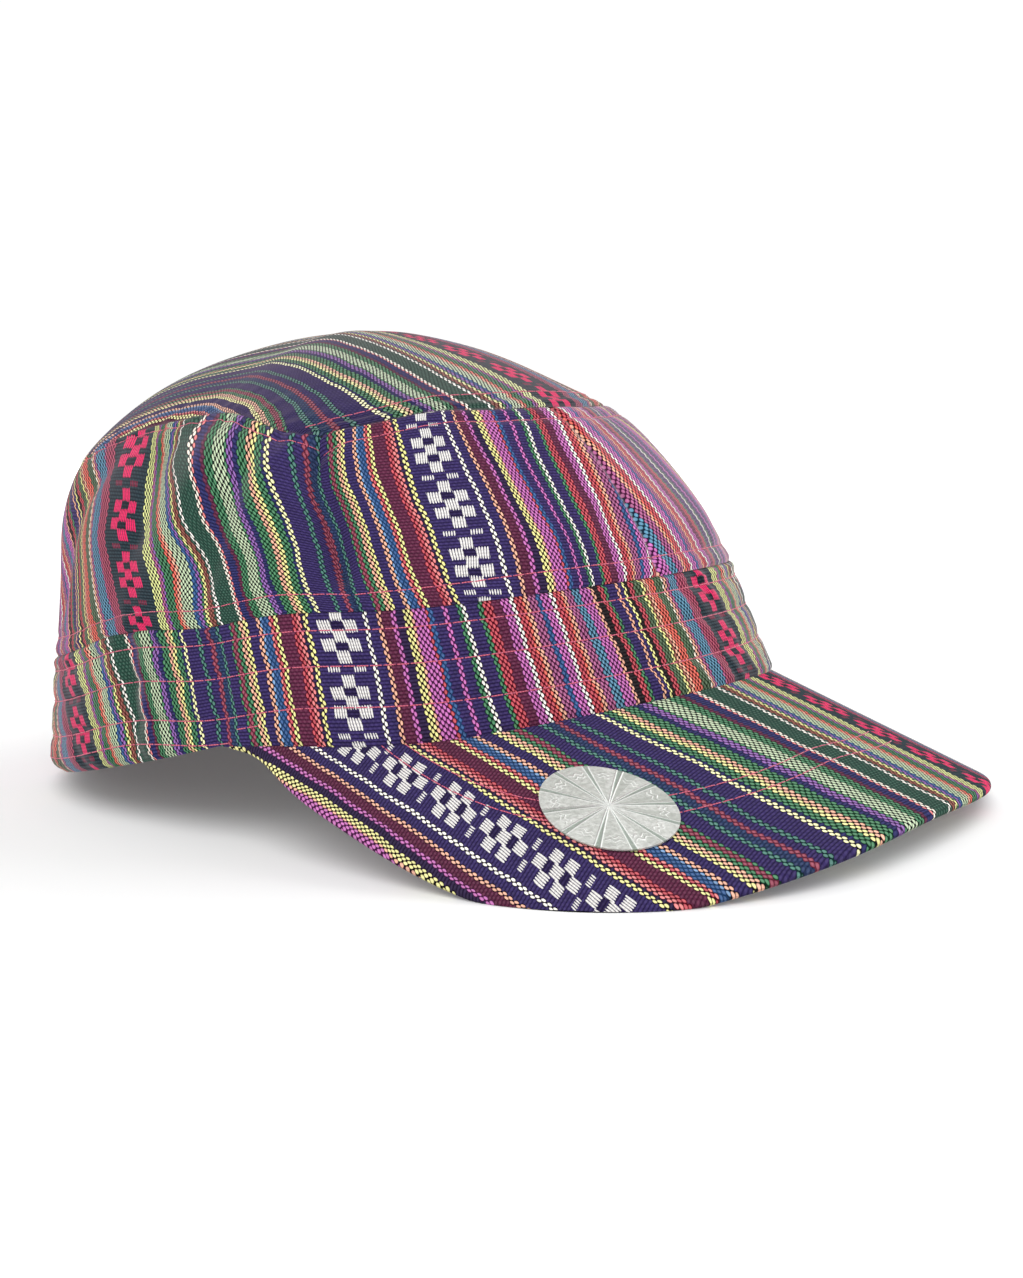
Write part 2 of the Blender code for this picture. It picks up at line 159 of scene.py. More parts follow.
# The cloth is a warp-faced plain weave. Its chart runs across the warp from the left edge of the
# ground under the pink crosses, as thread colour and number of threads, and then repeats. The
# pitches of threads and picks, and all other lengths on the cloth, are in millimetres.
THREAD_PITCH = 0.57
PICK_PITCH = 0.82
CLOTH_CHART = """
    slate 26 lime 6 mauve 2 violet 1 green 5 orange 2 peach 2 mint 6 blue 2 violet 2
    green 1 yellow 2 brown 3 pine 1 white 2 pine 10 cream 2 salmon 1 navy 4 wine 2 green 4
    mint 6 green 1 violet 3 navy 2 green 4 peach 2 yellow 2 green 3 navy 1 straw 2
    purple 7 teal 2 purple 3 crimson 2 indigo 3 teal 2 purple 5 green 1 crimson 2
    green 2 peach 2 yellow 2 purple 4 peach 2 sky 1 blue 3 salmon 1 red 1 yellow 2 wine 6
    red 2 salmon 2 plum 1 yellow 2
    purple 22
    white 2 purple 4 peach 2 wine 4 magenta 2 plum 3 yellow 3 peach 1 magenta 5
    red 1 blue 2 purple 4 magenta 2 purple 4 green 2 white 2 purple 5 green 2 red 4 wine 4
    magenta 4 white 2 red 3 orange 1 peach 2 mauve 4 blue 2 magenta 4 white 2 red 3 orange 1
    peach 2 mauve 4 cyan 4 magenta 5 peach 2 black 3 red 3 green 2 purple 5 peach 2 purple 2
    yellow 2 black 2 red 3 khaki 4 yellow 2 brown 1 peach 2 orange 5 khaki 5 cream 1 peach 2
    mauve 2 cyan 7 mauve 1 rose 7
"""
THREAD_COLORS = {
    "slate": (22, 54, 64), "lime": (214, 222, 116), "mauve": (172, 74, 134), "violet": (140, 82, 176),
    "green": (12, 122, 66), "orange": (236, 84, 52), "peach": (240, 166, 128), "mint": (180, 204, 158),
    "blue": (16, 88, 152), "yellow": (232, 224, 114), "brown": (150, 70, 50), "pine": (20, 84, 64),
    "white": (240, 236, 225), "cream": (235, 225, 205), "salmon": (238, 112, 112), "navy": (35, 40, 110),
    "red": (200, 42, 62), "straw": (238, 235, 160), "purple": (54, 37, 108), "wine": (106, 24, 68),
    "teal": (30, 118, 104), "indigo": (30, 60, 110), "sky": (96, 150, 204), "plum": (44, 22, 74),
    "magenta": (200, 88, 180), "black": (25, 15, 15), "khaki": (70, 105, 62), "cyan": (58, 134, 168),
    "rose": (176, 50, 88), "crimson": (158, 50, 80),
}
# The dark weft, made darker still to stand for the shade between the floats
WEFT_AND_SHADE = (15, 7, 20)
# The pale painted highlight on the tops of the floats
PAINTED_FLOAT_HIGHLIGHT = (244, 236, 240)
# The pale painted sheen where the cloth turns away
GRAZING_SHEEN_COLOR = (208, 186, 194)
# A ramp holds only so many colours, so the chart is cut into stretches
RAMP_STOPS = 30
RAMP_THREADS = 76
# How closely the stripes waver, and how far
WAVERS = ((0.045, 2.2), (0.17, 0.9))
FLOAT_HALF_WIDTH = 0.55
FLOAT_HALF_LENGTH = 0.70
CROSS_PINK = (245, 50, 110)
CROSS_WHITE = (243, 240, 236)
PINK_CENTRE = 7.4
WHITE_CENTRE = 104.3
WHITE_HALF_START = 60.0
CROSS_COLUMN = 3.0
CROSS_ROWS = 18
CROSS_STROKES = 5
RAGGED_LENGTH = 2.4
HOLE_HALF_ROWS = 1.6
# The blocks of a cross, in picks: middle of the first, where they begin and end, the step from one
# to the next, half a block's height, its two sides in columns, and how thin its strokes are
MIDDLE_BLOCKS = (1.7, -1.0, 15.6, 5.8, 1.90, 0.0, 0.5, 1.22)
SIDE_BLOCKS = (5.0, 2.3, 12.6, 5.1, 1.85, 0.5, 1.5, 1.22)
SMALL_MARKS = (16.5, 15.4, 18.0, 18.0, 0.85, 0.5, 1.5, 1.7)


def feed(tree, socket, value):
    """Give a socket what another node works out, or a plain value."""
    if isinstance(value, Wire):
        tree.links.new(value.socket, socket)
    else:
        socket.default_value = value


def shader_node(tree, kind, given=None, give=0, **settings):
    """A new node with its settings and what it is given, by number or name of each input. What it
    gives back is one of its outputs, or more of them where their names are listed."""
    made = tree.nodes.new("ShaderNode" + kind)
    for setting, value in settings.items():
        setattr(made, setting, value)
    for place, value in (given or {}).items():
        feed(tree, made.inputs[place], value)
    if isinstance(give, tuple):
        return [Wire(tree, made.outputs[name]) for name in give]
    return Wire(tree, made.outputs[give])


def worked(operation, swapped=False):
    """What one operation does to a Wire: it adds the maths node that works out the result."""
    def result(self, *others):
        values = (self, *others)[::-1 if swapped else 1]
        return shader_node(self.tree, "Math", dict(enumerate(values)), operation=operation)
    return result


class Wire:
    """A value that a node works out. It stands in sums like a plain number, and each sum is a node."""

    def __init__(self, tree, socket):
        self.tree = tree
        self.socket = socket

    __add__ = __radd__ = worked("ADD")
    __mul__ = __rmul__ = worked("MULTIPLY")
    __sub__ = worked("SUBTRACT")
    __rsub__ = worked("SUBTRACT", swapped=True)
    __truediv__ = worked("DIVIDE")
    __pow__ = worked("POWER")
    __mod__ = worked("FLOORED_MODULO")
    __gt__ = worked("GREATER_THAN")
    __lt__ = worked("LESS_THAN")
    __abs__ = worked("ABSOLUTE")
    __round__ = worked("ROUND")
    __floor__ = worked("FLOOR")
    at_least = worked("MAXIMUM")
    at_most = worked("MINIMUM")
    root = worked("SQRT")
    fraction = worked("FRACT")
    sine = worked("SINE")
    cosine = worked("COSINE")

    def clamped(self):
        """This value kept between 0 and 1."""
        return self.at_least(0.0).at_most(1.0)


def tint(color):
    """Light of a colour that was judged from 0 to 255."""
    parts = [part / 255 for part in color]
    return tuple(part / 12.92 if part < 0.04 else ((part + 0.055) / 1.055) ** 2.4 for part in parts) + (1,)


def blend_color(share, first, second, kind="MIX"):
    """One colour mixed over another by a share; each a node's result or a plain colour."""
    tree = next(value.tree for value in (share, first, second) if isinstance(value, Wire))
    return shader_node(tree, "Mix", {0: share, 6: first, 7: second}, 2, data_type="RGBA", blend_type=kind)


def lightness(color):
    """How light a colour is."""
    return shader_node(color.tree, "RGBToBW", {0: color})


def parts_of(place):
    """The three parts of a place."""
    return shader_node(place.tree, "SeparateXYZ", {0: place}, ("X", "Y", "Z"))


def place_of(*parts):
    """A place from its parts, the first a Wire."""
    return shader_node(parts[0].tree, "CombineXYZ", dict(enumerate(parts)))


def random_at(*numbers):
    """A random value from 0 to 1 that stays the same for the same numbers, the first a Wire."""
    place = place_of(*numbers)
    return shader_node(place.tree, "TexWhiteNoise", {"Vector": place}, noise_dimensions="3D")


def noise_at(place, scale, detail):
    """Soft noise from 0 to 1 at a place."""
    return shader_node(place.tree, "TexNoise", {"Vector": place, "Scale": scale, "Detail": detail})


def raised_normal(height, strength, distance):
    """The normal of a surface raised by a height."""
    given = {"Strength": strength, "Distance": distance, "Height": height}
    return shader_node(height.tree, "Bump", given)


def charted_color(thread):
    """The chart's colour for a thread's number, from one stepped ramp for each stretch of it."""
    tree = thread.tree
    words = CLOTH_CHART.split()
    stretches = [[]]
    start = 0
    for name, count in zip(words[::2], (int(word) for word in words[1::2])):
        stretch = stretches[-1]
        if stretch and (len(stretch) == RAMP_STOPS or start + count - stretch[0][0] > RAMP_THREADS):
            stretches.append([])
        stretches[-1].append((start, start + count, name))
        start += count
    number = thread % start
    color = None
    for stretch in stretches:
        first, last = stretch[0][0], stretch[-1][1]
        ramp = tree.nodes.new("ShaderNodeValToRGB")
        ramp.color_ramp.interpolation = "CONSTANT"
        feed(tree, ramp.inputs[0], (number - (first - 0.5)) / (last - first))
        elements = ramp.color_ramp.elements
        elements.remove(elements[1])
        elements[0].position = 0
        elements[0].color = tint(THREAD_COLORS[stretch[0][2]])
        for begin, _, name in stretch[1:]:
            elements.new((begin - first) / (last - first)).color = tint(THREAD_COLORS[name])
        found = Wire(tree, ramp.outputs[0])
        color = found if color is None else blend_color(number > first - 0.5, color, found)
    return color, start


def woven_stripes():
    """Node group for the cloth: from a place on it in millimetres to its colour, relief and gloss."""
    tree = bpy.data.node_groups.new("woven_stripes", "ShaderNodeTree")
    for name, side, kind in (("Place", "INPUT", "Vector"), ("Fading", "INPUT", "Float"),
                             ("Color", "OUTPUT", "Color"), ("Height", "OUTPUT", "Float"),
                             ("Roughness", "OUTPUT", "Float")):
        tree.interface.new_socket(name, in_out=side, socket_type="NodeSocket" + kind)
    place, fading = (Wire(tree, socket) for socket in tree.nodes.new("NodeGroupInput").outputs[:2])
    across, along, skew = parts_of(place)
    for density, reach in WAVERS:
        across = across + (noise_at(place, density, 1.0) - 0.5) * reach

    # Nearest float of warp: neighbouring threads come up over every other pick in turn
    s = across / THREAD_PITCH - 0.5
    t = along / PICK_PITCH - 0.5
    a = round((s + t) * 0.5)
    b = round((s - t) * 0.5)
    thread = a + b
    pick = a - b
    off_t = t - pick
    off_s = s - thread + off_t * 0.10
    away = (off_s / FLOAT_HALF_WIDTH) ** 2 + (off_t / FLOAT_HALF_LENGTH) ** 2
    dome = (1.0 - away).at_least(0.0).root()
    shown = ((1.07 - away) * 3.5).clamped()
    color, threads = charted_color(thread)
    light = lightness(color)
    dark = (1.22 - light * 9.0).clamped()
    domed = dome * (1.0 - dark * 0.92)

    # Uneven dye and yarn: by thread, by float, and in slow slubs along a thread. Each float is also painted
    # lighter over its dome and shaded towards its edges.
    slub = noise_at(place_of(thread * 5.3, along * 0.11), 1.0, 2.0)
    uneven = random_at(thread, 3.7) * 0.16 + random_at(thread, pick, 1.3) * 0.22 + slub * 0.40
    lit = blend_color(1.0, color, uneven + domed * 0.30 + 0.56, "MULTIPLY")
    # A pale painted highlight on the top of each float, and a faint one over deep colours
    lit = blend_color(domed * 0.09 + dark * 0.02, lit, tint(PAINTED_FLOAT_HIGHLIGHT))
    # A little of every colour is lost in the fibre
    lit = blend_color(fading, lit, lightness(lit))

    # Between the floats the dark weft shows, painted darker as the shade down between them, in the thread's
    # own colour where that is deep
    gap = blend_color((0.18 - light * 0.45).at_least(0.0), tint(WEFT_AND_SHADE), color)
    cloth = blend_color(shown, gap, lit)
    # Deep colours are packed close and read as ribs, one for each pick, each painted lit along its crest
    # and shaded between
    rib = 1.0 - ((t - round(t)) * 2.0) ** 2
    cloth = blend_color(dark * 0.94, cloth, blend_color(rib * 0.9 + 0.1, gap, lit))

    # Crosses of raised brocade weft, three blocks wide, over both plain grounds
    placed = across % (threads * THREAD_PITCH)
    white_half = placed > WHITE_HALF_START
    off_cross = placed - (white_half * (WHITE_CENTRE - PINK_CENTRE) + PINK_CENTRE)
    from_middle = abs(off_cross)
    rise = along / PICK_PITCH % CROSS_ROWS
    figure, full = None, None
    for blocks in (MIDDLE_BLOCKS, SIDE_BLOCKS, SMALL_MARKS):
        # One set of blocks: strokes of floating weft, leaning a little, with rounded ends
        centre_row, begin, finish, step, reach, nearest, farthest, thin = blocks
        in_rows = (rise < finish) * (rise > begin)
        off_row = (rise - (centre_row - step / 2)) % step - step / 2
        lean = off_cross + off_row * PICK_PITCH * skew
        stroke = (lean + CROSS_COLUMN * 1.5) / (CROSS_COLUMN / CROSS_STROKES)
        off_stroke = (stroke.fraction() - 0.5) * 2.0
        ragged = random_at(math.floor(stroke), math.floor(along / RAGGED_LENGTH)) * 0.16
        edge = (off_row / ((1.06 - ragged) * reach)) ** 4 + (off_stroke * thin) ** 2
        inside = ((1.12 - edge) * 4.0).clamped() * in_rows
        inside = inside * (from_middle < farthest * CROSS_COLUMN)
        inside = inside * (from_middle > nearest * CROSS_COLUMN - 0.01)
        if blocks is SMALL_MARKS:
            # The small marks between the crosses are faint over the slate ground
            inside = inside * (white_half * 0.6 + 0.4)
        if blocks is SIDE_BLOCKS:
            # The ground seen through the cross between its side blocks is sunk, and painted dark there as
            # shade
            hole = (from_middle < CROSS_COLUMN / 2) * (abs(off_row) < HOLE_HALF_ROWS) * in_rows
        rounded = inside * (1.0 - off_stroke ** 2 * 0.55)
        figure = inside if figure is None else figure.at_least(inside)
        full = rounded if full is None else full.at_least(rounded)
    cloth = blend_color(hole * 0.42, cloth, tint(WEFT_AND_SHADE))
    brocade = blend_color(white_half, tint(CROSS_PINK), tint(CROSS_WHITE))
    # Each stroke of the crosses is painted shaded towards its sides, as shade over its rounded top
    brocade = blend_color(1.0, brocade, full * 0.55 + 0.45, "MULTIPLY")

    result = tree.nodes.new("NodeGroupOutput")
    feed(tree, result.inputs["Color"], blend_color(figure, cloth, brocade))
    feed(tree, result.inputs["Height"], domed + rib * dark * 0.8 + full * 0.9)
    feed(tree, result.inputs["Roughness"], 0.88 - figure * 0.25)
    return tree


WOVEN_STRIPES = woven_stripes()


def finish(name, **plain):
    """A material with its plain settings, its node tree and its shader."""
    material = bpy.data.materials.new(name)
    material.use_nodes = True
    shader = material.node_tree.nodes["Principled BSDF"]
    for setting, value in plain.items():
        shader.inputs[setting.replace("_", " ")].default_value = value
    return material, material.node_tree, shader


def own_place(tree):
    """The place on the cloth, thread or foil that each point of a mesh carries."""
    return shader_node(tree, "Attribute", give="Vector", attribute_name="place")


def cloth_material(name, fading, sheen_share):
    """The striped cotton, with its own fading, and a pale sheen painted into its colour where it turns
    away.
    """
    material, tree, shader = finish(name, Specular_IOR_Level=0.04, Sheen_Weight=0.03, Sheen_Roughness=0.3)
    color, height, rough = shader_node(tree, "Group", {"Place": own_place(tree), "Fading": fading},
                                       ("Color", "Height", "Roughness"), node_tree=WOVEN_STRIPES)
    facing = shader_node(tree, "LayerWeight", {"Blend": 0.5}, "Facing")
    # Painted sheen: the colour is paled where the surface turns away from the camera
    painted_sheen = ((facing - 0.45) * 2.0).clamped() * sheen_share
    feed(tree, shader.inputs["Base Color"], blend_color(painted_sheen, color, tint(GRAZING_SHEEN_COLOR)))
    feed(tree, shader.inputs["Roughness"], rough)
    feed(tree, shader.inputs["Normal"], raised_normal(height, 0.8, 0.00035))
    return material


def cap_piece(name, points, faces, place, material):
    """A piece of the cap, set down on the ground, with each point's place on its cloth or foil."""
    mesh = bpy.data.meshes.new(name)
    mesh.from_pydata(set_down(points).tolist(), [], faces)
    attribute = mesh.attributes.new("place", "FLOAT_VECTOR", "POINT")
    attribute.data.foreach_set("vector", np.asarray(place, np.float32).ravel())
    mesh.shade_smooth()
    mesh.materials.append(material)
    piece = bpy.data.objects.new(name, mesh)
    bpy.context.scene.collection.objects.link(piece)
    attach(piece, "root")
    return piece


def cloth_wall(name, outer, inner, across, along, skew, material):
    """One closed wall of cloth between two grids; across and along place it on the cloth, in mm,
    and skew says how far the strokes of its crosses slant."""
    rows, columns = outer.shape[:2]
    count = rows * columns
    points = np.concatenate([outer.reshape(-1, 3), inner.reshape(-1, 3)])
    index = np.arange(count).reshape(rows, columns)
    low, high = index[:-1, :], index[1:, :]
    face = np.stack([low[:, :-1], low[:, 1:], high[:, 1:], high[:, :-1]], -1).reshape(-1, 4)
    back = face[:, ::-1] + count
    rim = np.concatenate([index[0, ::-1], index[1:, 0], index[-1, 1:], index[-2:0:-1, -1]])
    after = np.roll(rim, -1)
    edge = np.stack([rim, after, after + count, rim + count], -1)[:, ::-1]
    faces = np.concatenate([face, back, edge]).tolist()
    place = np.tile(np.stack([across, along, skew + 0 * across], -1).reshape(-1, 3), (2, 1))
    piece = cap_piece(name, points, faces, place, material)
    return piece


PEAK_CLOTH = cloth_material("peak_cloth", 0.24, 0.0)
peak_share = np.linspace(0, 1, PEAK_MESH[0] + 1)
root_x, root_y = plan_point(PEAK_CORNER * (1 - 2 * peak_share), BAND_WALL)
edge_x, edge_y = peak_edge(peak_share)
peak_ahead = 1 - (1 - np.linspace(0, 1, PEAK_MESH[1] + 1)[:, None]) ** PEAK_CROWDING
peak_x = root_x + (edge_x - root_x) * peak_ahead
peak_y = root_y + (edge_y - root_y) * peak_ahead
from_edge = np.hypot(edge_x - root_x, edge_y - root_y) * (1 - peak_ahead)
# The cloth is turned round the board's edge in a full roll
roll = PEAK_THICKNESS / 2
swell = np.sqrt(np.clip(1 - (1 - np.clip(from_edge / roll, 0, 1)) ** 2, 0.01, 1))
peak_up = peak_normal(peak_x, peak_y)
peak_mid = np.stack([peak_x, peak_y, peak_height(peak_x, peak_y)], -1) - peak_up * roll
peak_mid[..., 2] += END_LIFT * hump(np.minimum(peak_share, 1 - peak_share), 0, END_LIFT_SHARE)
peak_top = peak_mid + peak_up * (roll * swell)[..., None]
peak_under = peak_mid - peak_up * (roll * swell)[..., None]
# Place on the cloth: across by the arch's own length, along from the headband to the front
arch_x = np.linspace(-0.1, 0.1, 401)
arch_rise = np.diff(peak_height(arch_x, CORNER_Y - 0.08))
arch_length = np.concatenate([[0], np.cumsum(np.hypot(np.diff(arch_x), arch_rise))])
arch_length = arch_length - arch_length[len(arch_x) // 2]
peak_across = np.interp(peak_x, arch_x, arch_length) * 1000
peak_along = (CORNER_Y - peak_y) * 1000 / math.cos(PEAK_FALL)
peak_drawn = 3.0 * (peak_along - 80) / 62 * hump(peak_across, -18, 22) - hump(peak_across, -25, 30)
peak_across = smooth_between(*PEAK_LAY, peak_across) + peak_drawn
peak = cloth_wall("cloth_peak", peak_top, peak_under, peak_across, peak_along, PEAK_SKEW, PEAK_CLOTH)
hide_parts("peak")


# The headband: a folded strip of the same cloth round the opening, stripes upright, sewn through
# in rows and joined end to end at the back.
BAND_HEIGHT = 0.030
BAND_LEAN_FRONT = math.radians(14)
BAND_LEAN_SIDE = math.radians(6)
BAND_LEAN_BACK = math.radians(12)
CORNER_EASE = math.radians(50)
RISE_CENTRE = math.radians(78)
RISE_SPREAD = math.radians(20)
SEAM_DIP = 0.0063
SEAM_DIP_CENTRE = math.radians(77)
SEAM_DIP_SPREAD = math.radians(13)
BAND_FLARE_START = math.radians(82)
BAND_FLARE_EASE = math.radians(36)
BAND_FLARE_BEHIND = 0.0042
BAND_FLARE_LEFT = 0.0024
BAND_FLARE_TOP = 0.0022
SEAM_GAP = 0.0003
BAND_MESH = (640, 36)
BAND_START = 192.4
BAND_SLANT = 4.35
BAND_PICK_START = 10.9
# Where the stripes lean more or less than elsewhere: place along the band, width, and how much
BAND_LEANS = ((0.182, 0.028, 15), (0.086, 0.034, -2.4))
# Where the stripes are drawn aside on the left: where it starts, over what length, and how far
BAND_DRAWN = (0.140, 0.036, -4.8)
BAND_SKEW = 0.12
BAND_JOIN = 0.0004
BAND_ROWS = (0.0040, 0.0120, 0.0212)
# Soft upright hollows beside the peak's corners, as degrees from the front and depth
BAND_HOLLOWS = ((90.5, 0.0018), (73.5, 0.0014))
HOLLOW_WIDTH = 1.9
# The waves that make up the gathers: length, fullness and how far each is shifted
GATHER_WAVES = ((0.0083, 1.0, 1.0), (0.0131, 0.7, 2.3), (0.0052, 0.5, 4.1))


def turned_from_front(angle):
    """Angle from straight ahead, whichever side it is on."""
    return np.abs((angle + np.pi) % (2 * np.pi) - np.pi)


def spread_out(x, y, angle):
    """A plan point of the bottom edge moved outward, behind and at the wearer's left front."""
    behind = np.clip((turned_from_front(angle) - BAND_FLARE_START) / BAND_FLARE_EASE, 0, 1)
    flare = BAND_FLARE_BEHIND * behind * behind * (3 - 2 * behind)
    flare = flare + BAND_FLARE_LEFT * hump(angle, -BAND_FLARE_EASE * 1.2, BAND_FLARE_EASE)
    share = 1 + flare / np.hypot(x, y)
    return x * share, y * share


def band_bottom(angle, inset=0.0):
    """The headband's bottom edge: it follows the peak in front and lies flat behind."""
    x, y = spread_out(*plan_point(angle, inset), angle)
    corner_x, corner_y = plan_point(PEAK_CORNER, inset)
    behind = np.clip((turned_from_front(angle) - PEAK_CORNER) / CORNER_EASE, 0, 1)
    ahead_z = peak_height(x, y) + SEAM_GAP
    back_z = (peak_height(corner_x, corner_y) + SEAM_GAP) * (1 - behind) ** 2
    z = np.where(turned_from_front(angle) < PEAK_CORNER, ahead_z, back_z)
    return np.stack([x, y, z], -1)


def band_top(angle, height=BAND_HEIGHT, inset=0.0):
    """The headband's top edge, leaning in over the bottom edge, with a soft rise over the corners."""
    x, y = plan_point(angle)
    outer = np.stack([x, y, band_bottom(angle)[..., 2]], -1)
    turned = turned_from_front(angle)
    rise = CORNER_LIFT * hump(turned, RISE_CENTRE, RISE_SPREAD)
    rise = rise - SEAM_DIP * hump(turned, SEAM_DIP_CENTRE, SEAM_DIP_SPREAD)
    toward = np.where(np.cos(angle) > 0, BAND_LEAN_FRONT, BAND_LEAN_BACK)
    lean = BAND_LEAN_SIDE + (toward - BAND_LEAN_SIDE) * np.cos(angle) ** 4
    reach = np.hypot(outer[..., 0], outer[..., 1])
    share = 1 - (height * np.sin(lean) + inset - BAND_FLARE_TOP * (1 - np.cos(angle)) / 2) / reach
    return np.stack([outer[..., 0] * share, outer[..., 1] * share,
                     rise + height * np.cos(lean)], -1)


def from_borders(points):
    """How far each point of a grid lies from its low, high, left and right borders."""
    up = np.linalg.norm(np.diff(points, axis=0), axis=-1)
    over = np.linalg.norm(np.diff(points, axis=1), axis=-1)
    low = np.concatenate([np.zeros((1, points.shape[1])), np.cumsum(up, axis=0)])
    left = np.concatenate([np.zeros((points.shape[0], 1)), np.cumsum(over, axis=1)], axis=1)
    return low, low[-1:] - low, left, left[:, -1:] - left


def turned_edge(away, width=0.0019, depth=0.0009):
    """How far the cloth rolls in beside a seam."""
    return -depth * (1 - np.clip(away / width, 0, 1)) ** 2


def sewn_groove(away, row, depth=0.00035, width=0.0011):
    """The groove that a row of stitches pulls into the cloth."""
    return -depth * hump(away, row, width)


def gathers(away, run, depth, reach, turn):
    """Small gathers that a sewn edge draws up in the cloth beside it."""
    waves = sum(full * np.sin(run * 2 * np.pi / length + shift * turn)
                for length, full, shift in GATHER_WAVES)
    return depth * waves * np.exp(-away / reach) * np.clip(away / 0.0015, 0, 1)


def grid_normals(points):
    """Normals of a grid of points, on the side where rows times columns turn up."""
    over = np.gradient(points, axis=1)
    up = np.gradient(points, axis=0)
    normal = np.cross(over, up)
    return normal / np.linalg.norm(normal, axis=-1, keepdims=True)


band_angle = np.linspace(-np.pi + BAND_JOIN, np.pi - BAND_JOIN, BAND_MESH[0] + 1)
band_share = np.linspace(0, 1, BAND_MESH[1] + 1)[:, None, None]
band_high = BAND_HEIGHT - SEAM_GAP / 2
band_low = band_bottom(band_angle)
band_out = band_low + (band_top(band_angle, band_high) - band_low) * band_share
band_inner_low = band_bottom(band_angle, BAND_WALL)
band_in = band_inner_low + (band_top(band_angle, band_high, BAND_WALL) - band_inner_low) * band_share
low_off, high_off, left_off, right_off = from_borders(band_out)
band_relief = turned_edge(low_off, 0.0016, 0.0008) + turned_edge(high_off, 0.0014, 0.0006)
behind_peak = np.clip((turned_from_front(band_angle) - BAND_FLARE_START) / BAND_FLARE_EASE, 0, 1)
band_relief += turned_edge(low_off, 0.0042, 0.0026) * behind_peak
band_relief += turned_edge(np.minimum(left_off, right_off))
for row in BAND_ROWS:
    band_relief += sewn_groove(high_off, row, 0.00055, 0.0014)
band_relief += gathers(high_off, left_off, 0.00026, 0.010, 0.7)
band_relief += gathers(low_off, left_off, 0.00020, 0.012, 1.9)
for turn, depth in BAND_HOLLOWS:
    hollow = hump(np.degrees(np.abs(band_angle)), turn, HOLLOW_WIDTH)
    band_relief -= depth * hollow * (0.35 + 0.65 * np.sin(np.pi * band_share[..., 0]))
band_normal = grid_normals(band_out)
band_normal *= np.sign((band_normal * (band_out - band_in)).sum(-1).mean())
band_outer = band_out + band_normal * band_relief[..., None]
band_arc = left_off[0] - left_off[0, BAND_MESH[0] // 2]
band_lean = BAND_SLANT
for middle, width, much in BAND_LEANS:
    band_lean = band_lean + much * hump(band_arc, middle, width)
start, length, much = BAND_DRAWN
band_drawn = much * np.clip((band_arc - start) / length, 0, 1)
band_across = BAND_START - 1000 * band_arc + band_drawn + band_lean * (band_share[..., 0] - 0.5)
band_along = 1000 * BAND_HEIGHT * band_share[..., 0] + BAND_PICK_START + 0 * band_across
BAND_CLOTH = cloth_material("band_cloth", 0.18, 0.22)
headband = cloth_wall("cloth_headband", band_outer, band_in, band_across, band_along,
                      BAND_SKEW, BAND_CLOTH)
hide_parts("headband")


# The crown: two front panels that meet in a seam at the centre, a panel round each side, and one
# panel over the top and down the back. Single cloth, seams turned in, creased from folding.
CROWN_HEIGHT = 0.107
CLOTH_WALL = 0.0016
FOLD_DEPTH = 0.0030
CROWN_COLUMNS = ("level", "front_reach", "front_rise", "side_reach", "side_rise",
                 "back_reach", "back_rise")
CROWN_SECTIONS = np.array([
    (1.00, 1.000, 0.000, 1.000, 0.000, 1.000, 0.000),
    (0.86, 0.942, 0.209, 0.925, 0.160, 1.015, 0.370),
    (0.72, 0.815, 0.450, 0.845, 0.350, 1.025, 0.630),
    (0.58, 0.710, 0.587, 0.730, 0.530, 0.960, 0.800),
    (0.44, 0.545, 0.729, 0.570, 0.700, 0.780, 0.930),
    (0.28, 0.347, 0.861, 0.380, 0.865, 0.520, 1.005),
    (0.14, 0.155, 0.954, 0.175, 0.965, 0.240, 1.022),
    (0.00, 0.000, 1.000, 0.000, 1.000, 0.000, 1.000),
])
FRONT_SEAM_SHARE = 0.582
FRONT_SEAM_POWER = 2.1
FRONT_PANEL_END = math.radians(51.5)
TAIL_END = math.radians(159)
TAIL_START_SHARE = 0.72
SEAM_CORNER = (0.478, 0.310)
SIDE_SEAM = np.array([SEAM_CORNER, (0.531, 0.334), (0.612, 0.385), (0.681, 0.470), (0.733, 0.540),
                      (math.sin(FRONT_PANEL_END), math.cos(FRONT_PANEL_END))])
TOP_SEAM = np.array([SEAM_CORNER, (0.495, 0.235), (0.474, 0.140), (0.440, 0.030), (0.408, -0.080),
                     (0.392, -0.200), (0.372, -0.330), (0.350, -0.520), (0.345, -0.720),
                     (math.sin(TAIL_END), math.cos(TAIL_END))])
# Dents and bulges of the soft crown: from one disc point to another, width, depth as a share
FOLDS = (
    (0.530, 0.335, 0.730, 0.540, 0.038, 1.25),
    (0.600, 0.270, 0.850, 0.420, 0.065, -0.60),
    (0.620, 0.180, 0.900, 0.200, 0.045, 0.55),
    (0.540, 0.060, 0.800, 0.060, 0.060, -0.45),
    (0.500, -0.120, 0.740, -0.060, 0.045, 0.55),
    (0.600, -0.250, 0.940, -0.180, 0.070, -0.30),
    (0.480, -0.330, 0.760, -0.500, 0.060, 0.70),
    (0.300, 0.480, 0.420, 0.860, 0.090, -0.35),
    (0.060, 0.860, 0.160, 0.980, 0.060, 0.60),
    (-0.530, 0.335, -0.730, 0.540, 0.045, 0.80),
    (-0.640, 0.200, -0.900, 0.240, 0.060, 0.50),
    (-0.560, 0.020, -0.860, -0.080, 0.070, -0.50),
    (-0.540, -0.200, -0.800, -0.380, 0.060, 0.75),
    (-0.300, 0.540, -0.400, 0.880, 0.090, -0.35),
    (0.000, -0.500, 0.060, -0.900, 0.110, 0.45),
)
FOLD_FADE_SHARE = 0.12
FRONT_MESH = (98, 66)
SIDE_MESH = (200, 72)
TOP_MESH = (140, 230)
# On the sides the stripes drawn aside lean back: from what share of the height, and how fast
LEAN_START = 0.65
LEAN_RATE = 1.8
GATHER_REACH = 0.007
